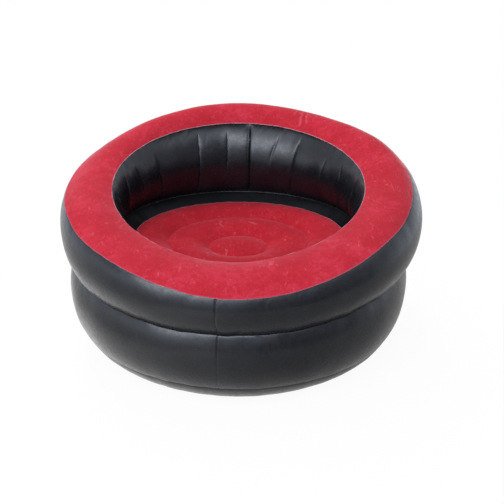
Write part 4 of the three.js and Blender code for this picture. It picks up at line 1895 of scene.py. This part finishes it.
@dataclass
class Studio:
    """A pale floor and backdrop, and soft light from above and in front.

    What the film mirrors of the room is painted by direction. Each Range turns a part of a direction, or
    a distance on the floor in metres, from its first two numbers to its last two. The floor lies just under
    the chair, at a height in millimetres, and its rings stand closer near the middle.
    """

    ambient: float = 0.27
    mirrored_colour: str = "e6eefb"
    front: Range = (0.1, -0.3, 0.0, 1.0)
    left_to_right: Range = (-0.8, 0.4, 3.5, 0.45)
    far_right: Range = (0.5, 0.95, 0.0, 0.45)
    high_to_right: Range = (0.0, 0.5, 4.8, 3.4)
    high_left_shade: Range = (-0.45, -0.1, 0.3, 1.0)
    corner_across: Range = (-0.6, -0.82, 0.0, 1.0)
    corner_up: Range = (0.18, 0.4, 0.0, 0.6)
    low_to_high: Range = (0.48, 0.7, 0.0, 1.0)
    horizon: Range = (0.0, 0.22, 0.4, 1.0)
    behind: Range = (0.15, 0.5, 1.7, 1.4)
    overhead: Range = (0.8, 0.91, 1.0, 0.05)
    floor_seen: Range = (0.38, 0.8, 0.94, 1.0)
    floor_mirrored: Range = (0.38, 1.6, 0.78, 1.05)
    floor_left: Range = (-0.5, 0.2, 2.0, 0.82)
    floor_far_left: Range = (-0.85, -0.42, 0.5, 1.0)
    floor_colour: str = "f4f4f4"
    floor_radius: float = 3.2
    floor_height: float = -0.4
    floor_sides: int = 96
    floor_rings: int = 25
    floor_power: float = 1.5
    lamps: tuple[Softbox, ...] = (
        Softbox(
            "front softbox", place=(-0.74, -2.5, 2.19), aim=(0.05, 0.25, 0.43),
            width=3.6, height=1.2, radiance=8.8, colour="eef3ff", roll=20.0,
        ),
        Softbox(
            "high back softbox", place=(-0.7, 1.0, 2.3), aim=(-0.1, 0.0, 0.3),
            width=1.4, height=1.4, radiance=7.0, colour="fff8f4", mirrored=False,
        ),
    )

    def mirrored(self, tree: Tree) -> Socket:
        """Work out what the film mirrors of the room: paler on the left, and dark overhead.

        Args:
            tree: The world's node tree.

        Returns:
            The brightness in each direction.
        """
        way = tree.add("TexCoord", output="Generated")
        x, y, z = (tree.add("SeparateXYZ", (way,), axis) for axis in "XYZ")
        corner = tree.add("MapRange", (x, *self.corner_across))
        corner = tree.add("Math", (corner, tree.add("MapRange", (z, *self.corner_up))), operation="MULTIPLY")
        corner = tree.add("Math", (1.0, corner), operation="SUBTRACT")
        low = tree.add("MapRange", (x, *self.left_to_right))
        low = tree.add("Math", (low, tree.add("MapRange", (x, *self.far_right))), operation="ADD")
        low = tree.add("Math", (low, corner), operation="MULTIPLY")
        high = tree.add("Math", (x, y), operation="SUBTRACT")
        high = tree.add("MapRange", (high, *self.high_left_shade))
        high = tree.add("Math", (high, tree.add("MapRange", (x, *self.high_to_right))), operation="MULTIPLY")
        ahead = tree.add("Mix", {0: tree.add("MapRange", (z, *self.low_to_high)), 2: low, 3: high})
        ahead = tree.add("Math", (ahead, tree.add("MapRange", (z, *self.horizon))), operation="MULTIPLY")
        behind = tree.add("MapRange", (z, *self.behind))
        shade = tree.add("Mix", {0: tree.add("MapRange", (y, *self.front)), 2: behind, 3: ahead})
        return tree.add("Math", (shade, tree.add("MapRange", (z, *self.overhead))), operation="MULTIPLY")

    def build_world(self) -> None:
        """Make the surroundings: white to the camera, painted in reflections, even for plain light."""
        world = bpy.data.worlds.new("studio")
        bpy.context.scene.world = world
        tree = Tree(world)
        glossy = tree.add("LightPath", output="Is Glossy Ray")
        strength = tree.add("MapRange", (seen_rays(tree), 0.0, 1.0, self.ambient, 1.0))
        strength = tree.add("Mix", {0: glossy, 2: strength, 3: self.mirrored(tree)})
        colours = {0: glossy, 6: WHITE, 7: linear(self.mirrored_colour)}
        colour = tree.add("Mix", colours, 2, data_type="RGBA")
        background = tree.add("Background", {"Color": colour, "Strength": strength})
        tree.add("OutputWorld", {"Surface": background})

    def build_floor(self) -> None:
        """Make the floor: a disc that is white to the camera and keeps a soft shadow near the chair."""
        angle = np.arange(self.floor_sides) * TURN / self.floor_sides
        radius = np.linspace(0, 1, self.floor_rings) ** self.floor_power * self.floor_radius / MM
        rows = points(radius, self.floor_height)
        rows = np.broadcast_to(rows, (self.floor_sides, *rows.shape))
        obj = Grid(turned(rows, angle), True).mesh("floor")
        tidy_mesh(obj)
        material, tree, where = new_material("white paper sweep")
        out = tree.add("VectorMath", (where,), "Value", operation="LENGTH")
        right = tree.add("SeparateXYZ", (where,), "X")
        glossy = tree.add("LightPath", output="Is Glossy Ray")
        share = (seen_rays(tree), tree.add("MapRange", (out, *self.floor_seen)))
        share = tree.add("Math", (tree.add("Math", share, operation="MULTIPLY"), glossy), operation="MAXIMUM")
        # To glossy rays the floor is pure emission, a painted reflection: painted shade near the chair, and a
        # painted pool of light to the left that dims again far to the left
        mirrored = tree.add("MapRange", (out, *self.floor_mirrored))
        for span in (self.floor_left, self.floor_far_left):
            factor = tree.add("MapRange", (right, *span))
            mirrored = tree.add("Math", (mirrored, factor), operation="MULTIPLY")
        strength = tree.add("Mix", {0: glossy, 2: 1.0, 3: mirrored})
        paper = tree.add("BsdfDiffuse", {"Color": linear(self.floor_colour)})
        glow = tree.add("Emission", {"Color": WHITE, "Strength": strength})
        tree.add("OutputMaterial", {"Surface": tree.add("MixShader", (share, paper, glow))})
        dress(obj, material)

    def build(self) -> None:
        """Make the studio."""
        bpy.context.scene.view_settings.view_transform = "Standard"
        self.build_world()
        self.build_floor()
        for lamp in self.lamps:
            lamp.build()


# Ties inside the chair that stay CAD nodes
KEPT_FILM_NODES = ("ring_tie", "seat_tie_outer", "seat_tie_inner")


def main() -> None:
    """Build the scene round the frame, in order."""
    logging.basicConfig(level=logging.INFO, format="%(name)s: %(message)s")
    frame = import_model()
    Camera().build()
    finishes = Finishes()
    panels = Skins(finishes).build()
    Beads(finishes).build()
    Baffles(finishes, panels["upper_inner_wall"], panels["upper_outer_wall"]).build()
    Valve("upper_valve", UPPER_VALVE, "upper_plug", finishes).build(frame["nodes"])
    Valve("base_valve", BASE_VALVE, "base_plug", finishes).build(frame["nodes"])
    for node in KEPT_FILM_NODES:
        dress(frame["nodes"][node], finishes.grey)
        log.info("%s: CAD node kept, with its own finish", node)
    Studio().build()


if __name__ == "__main__":
    main()
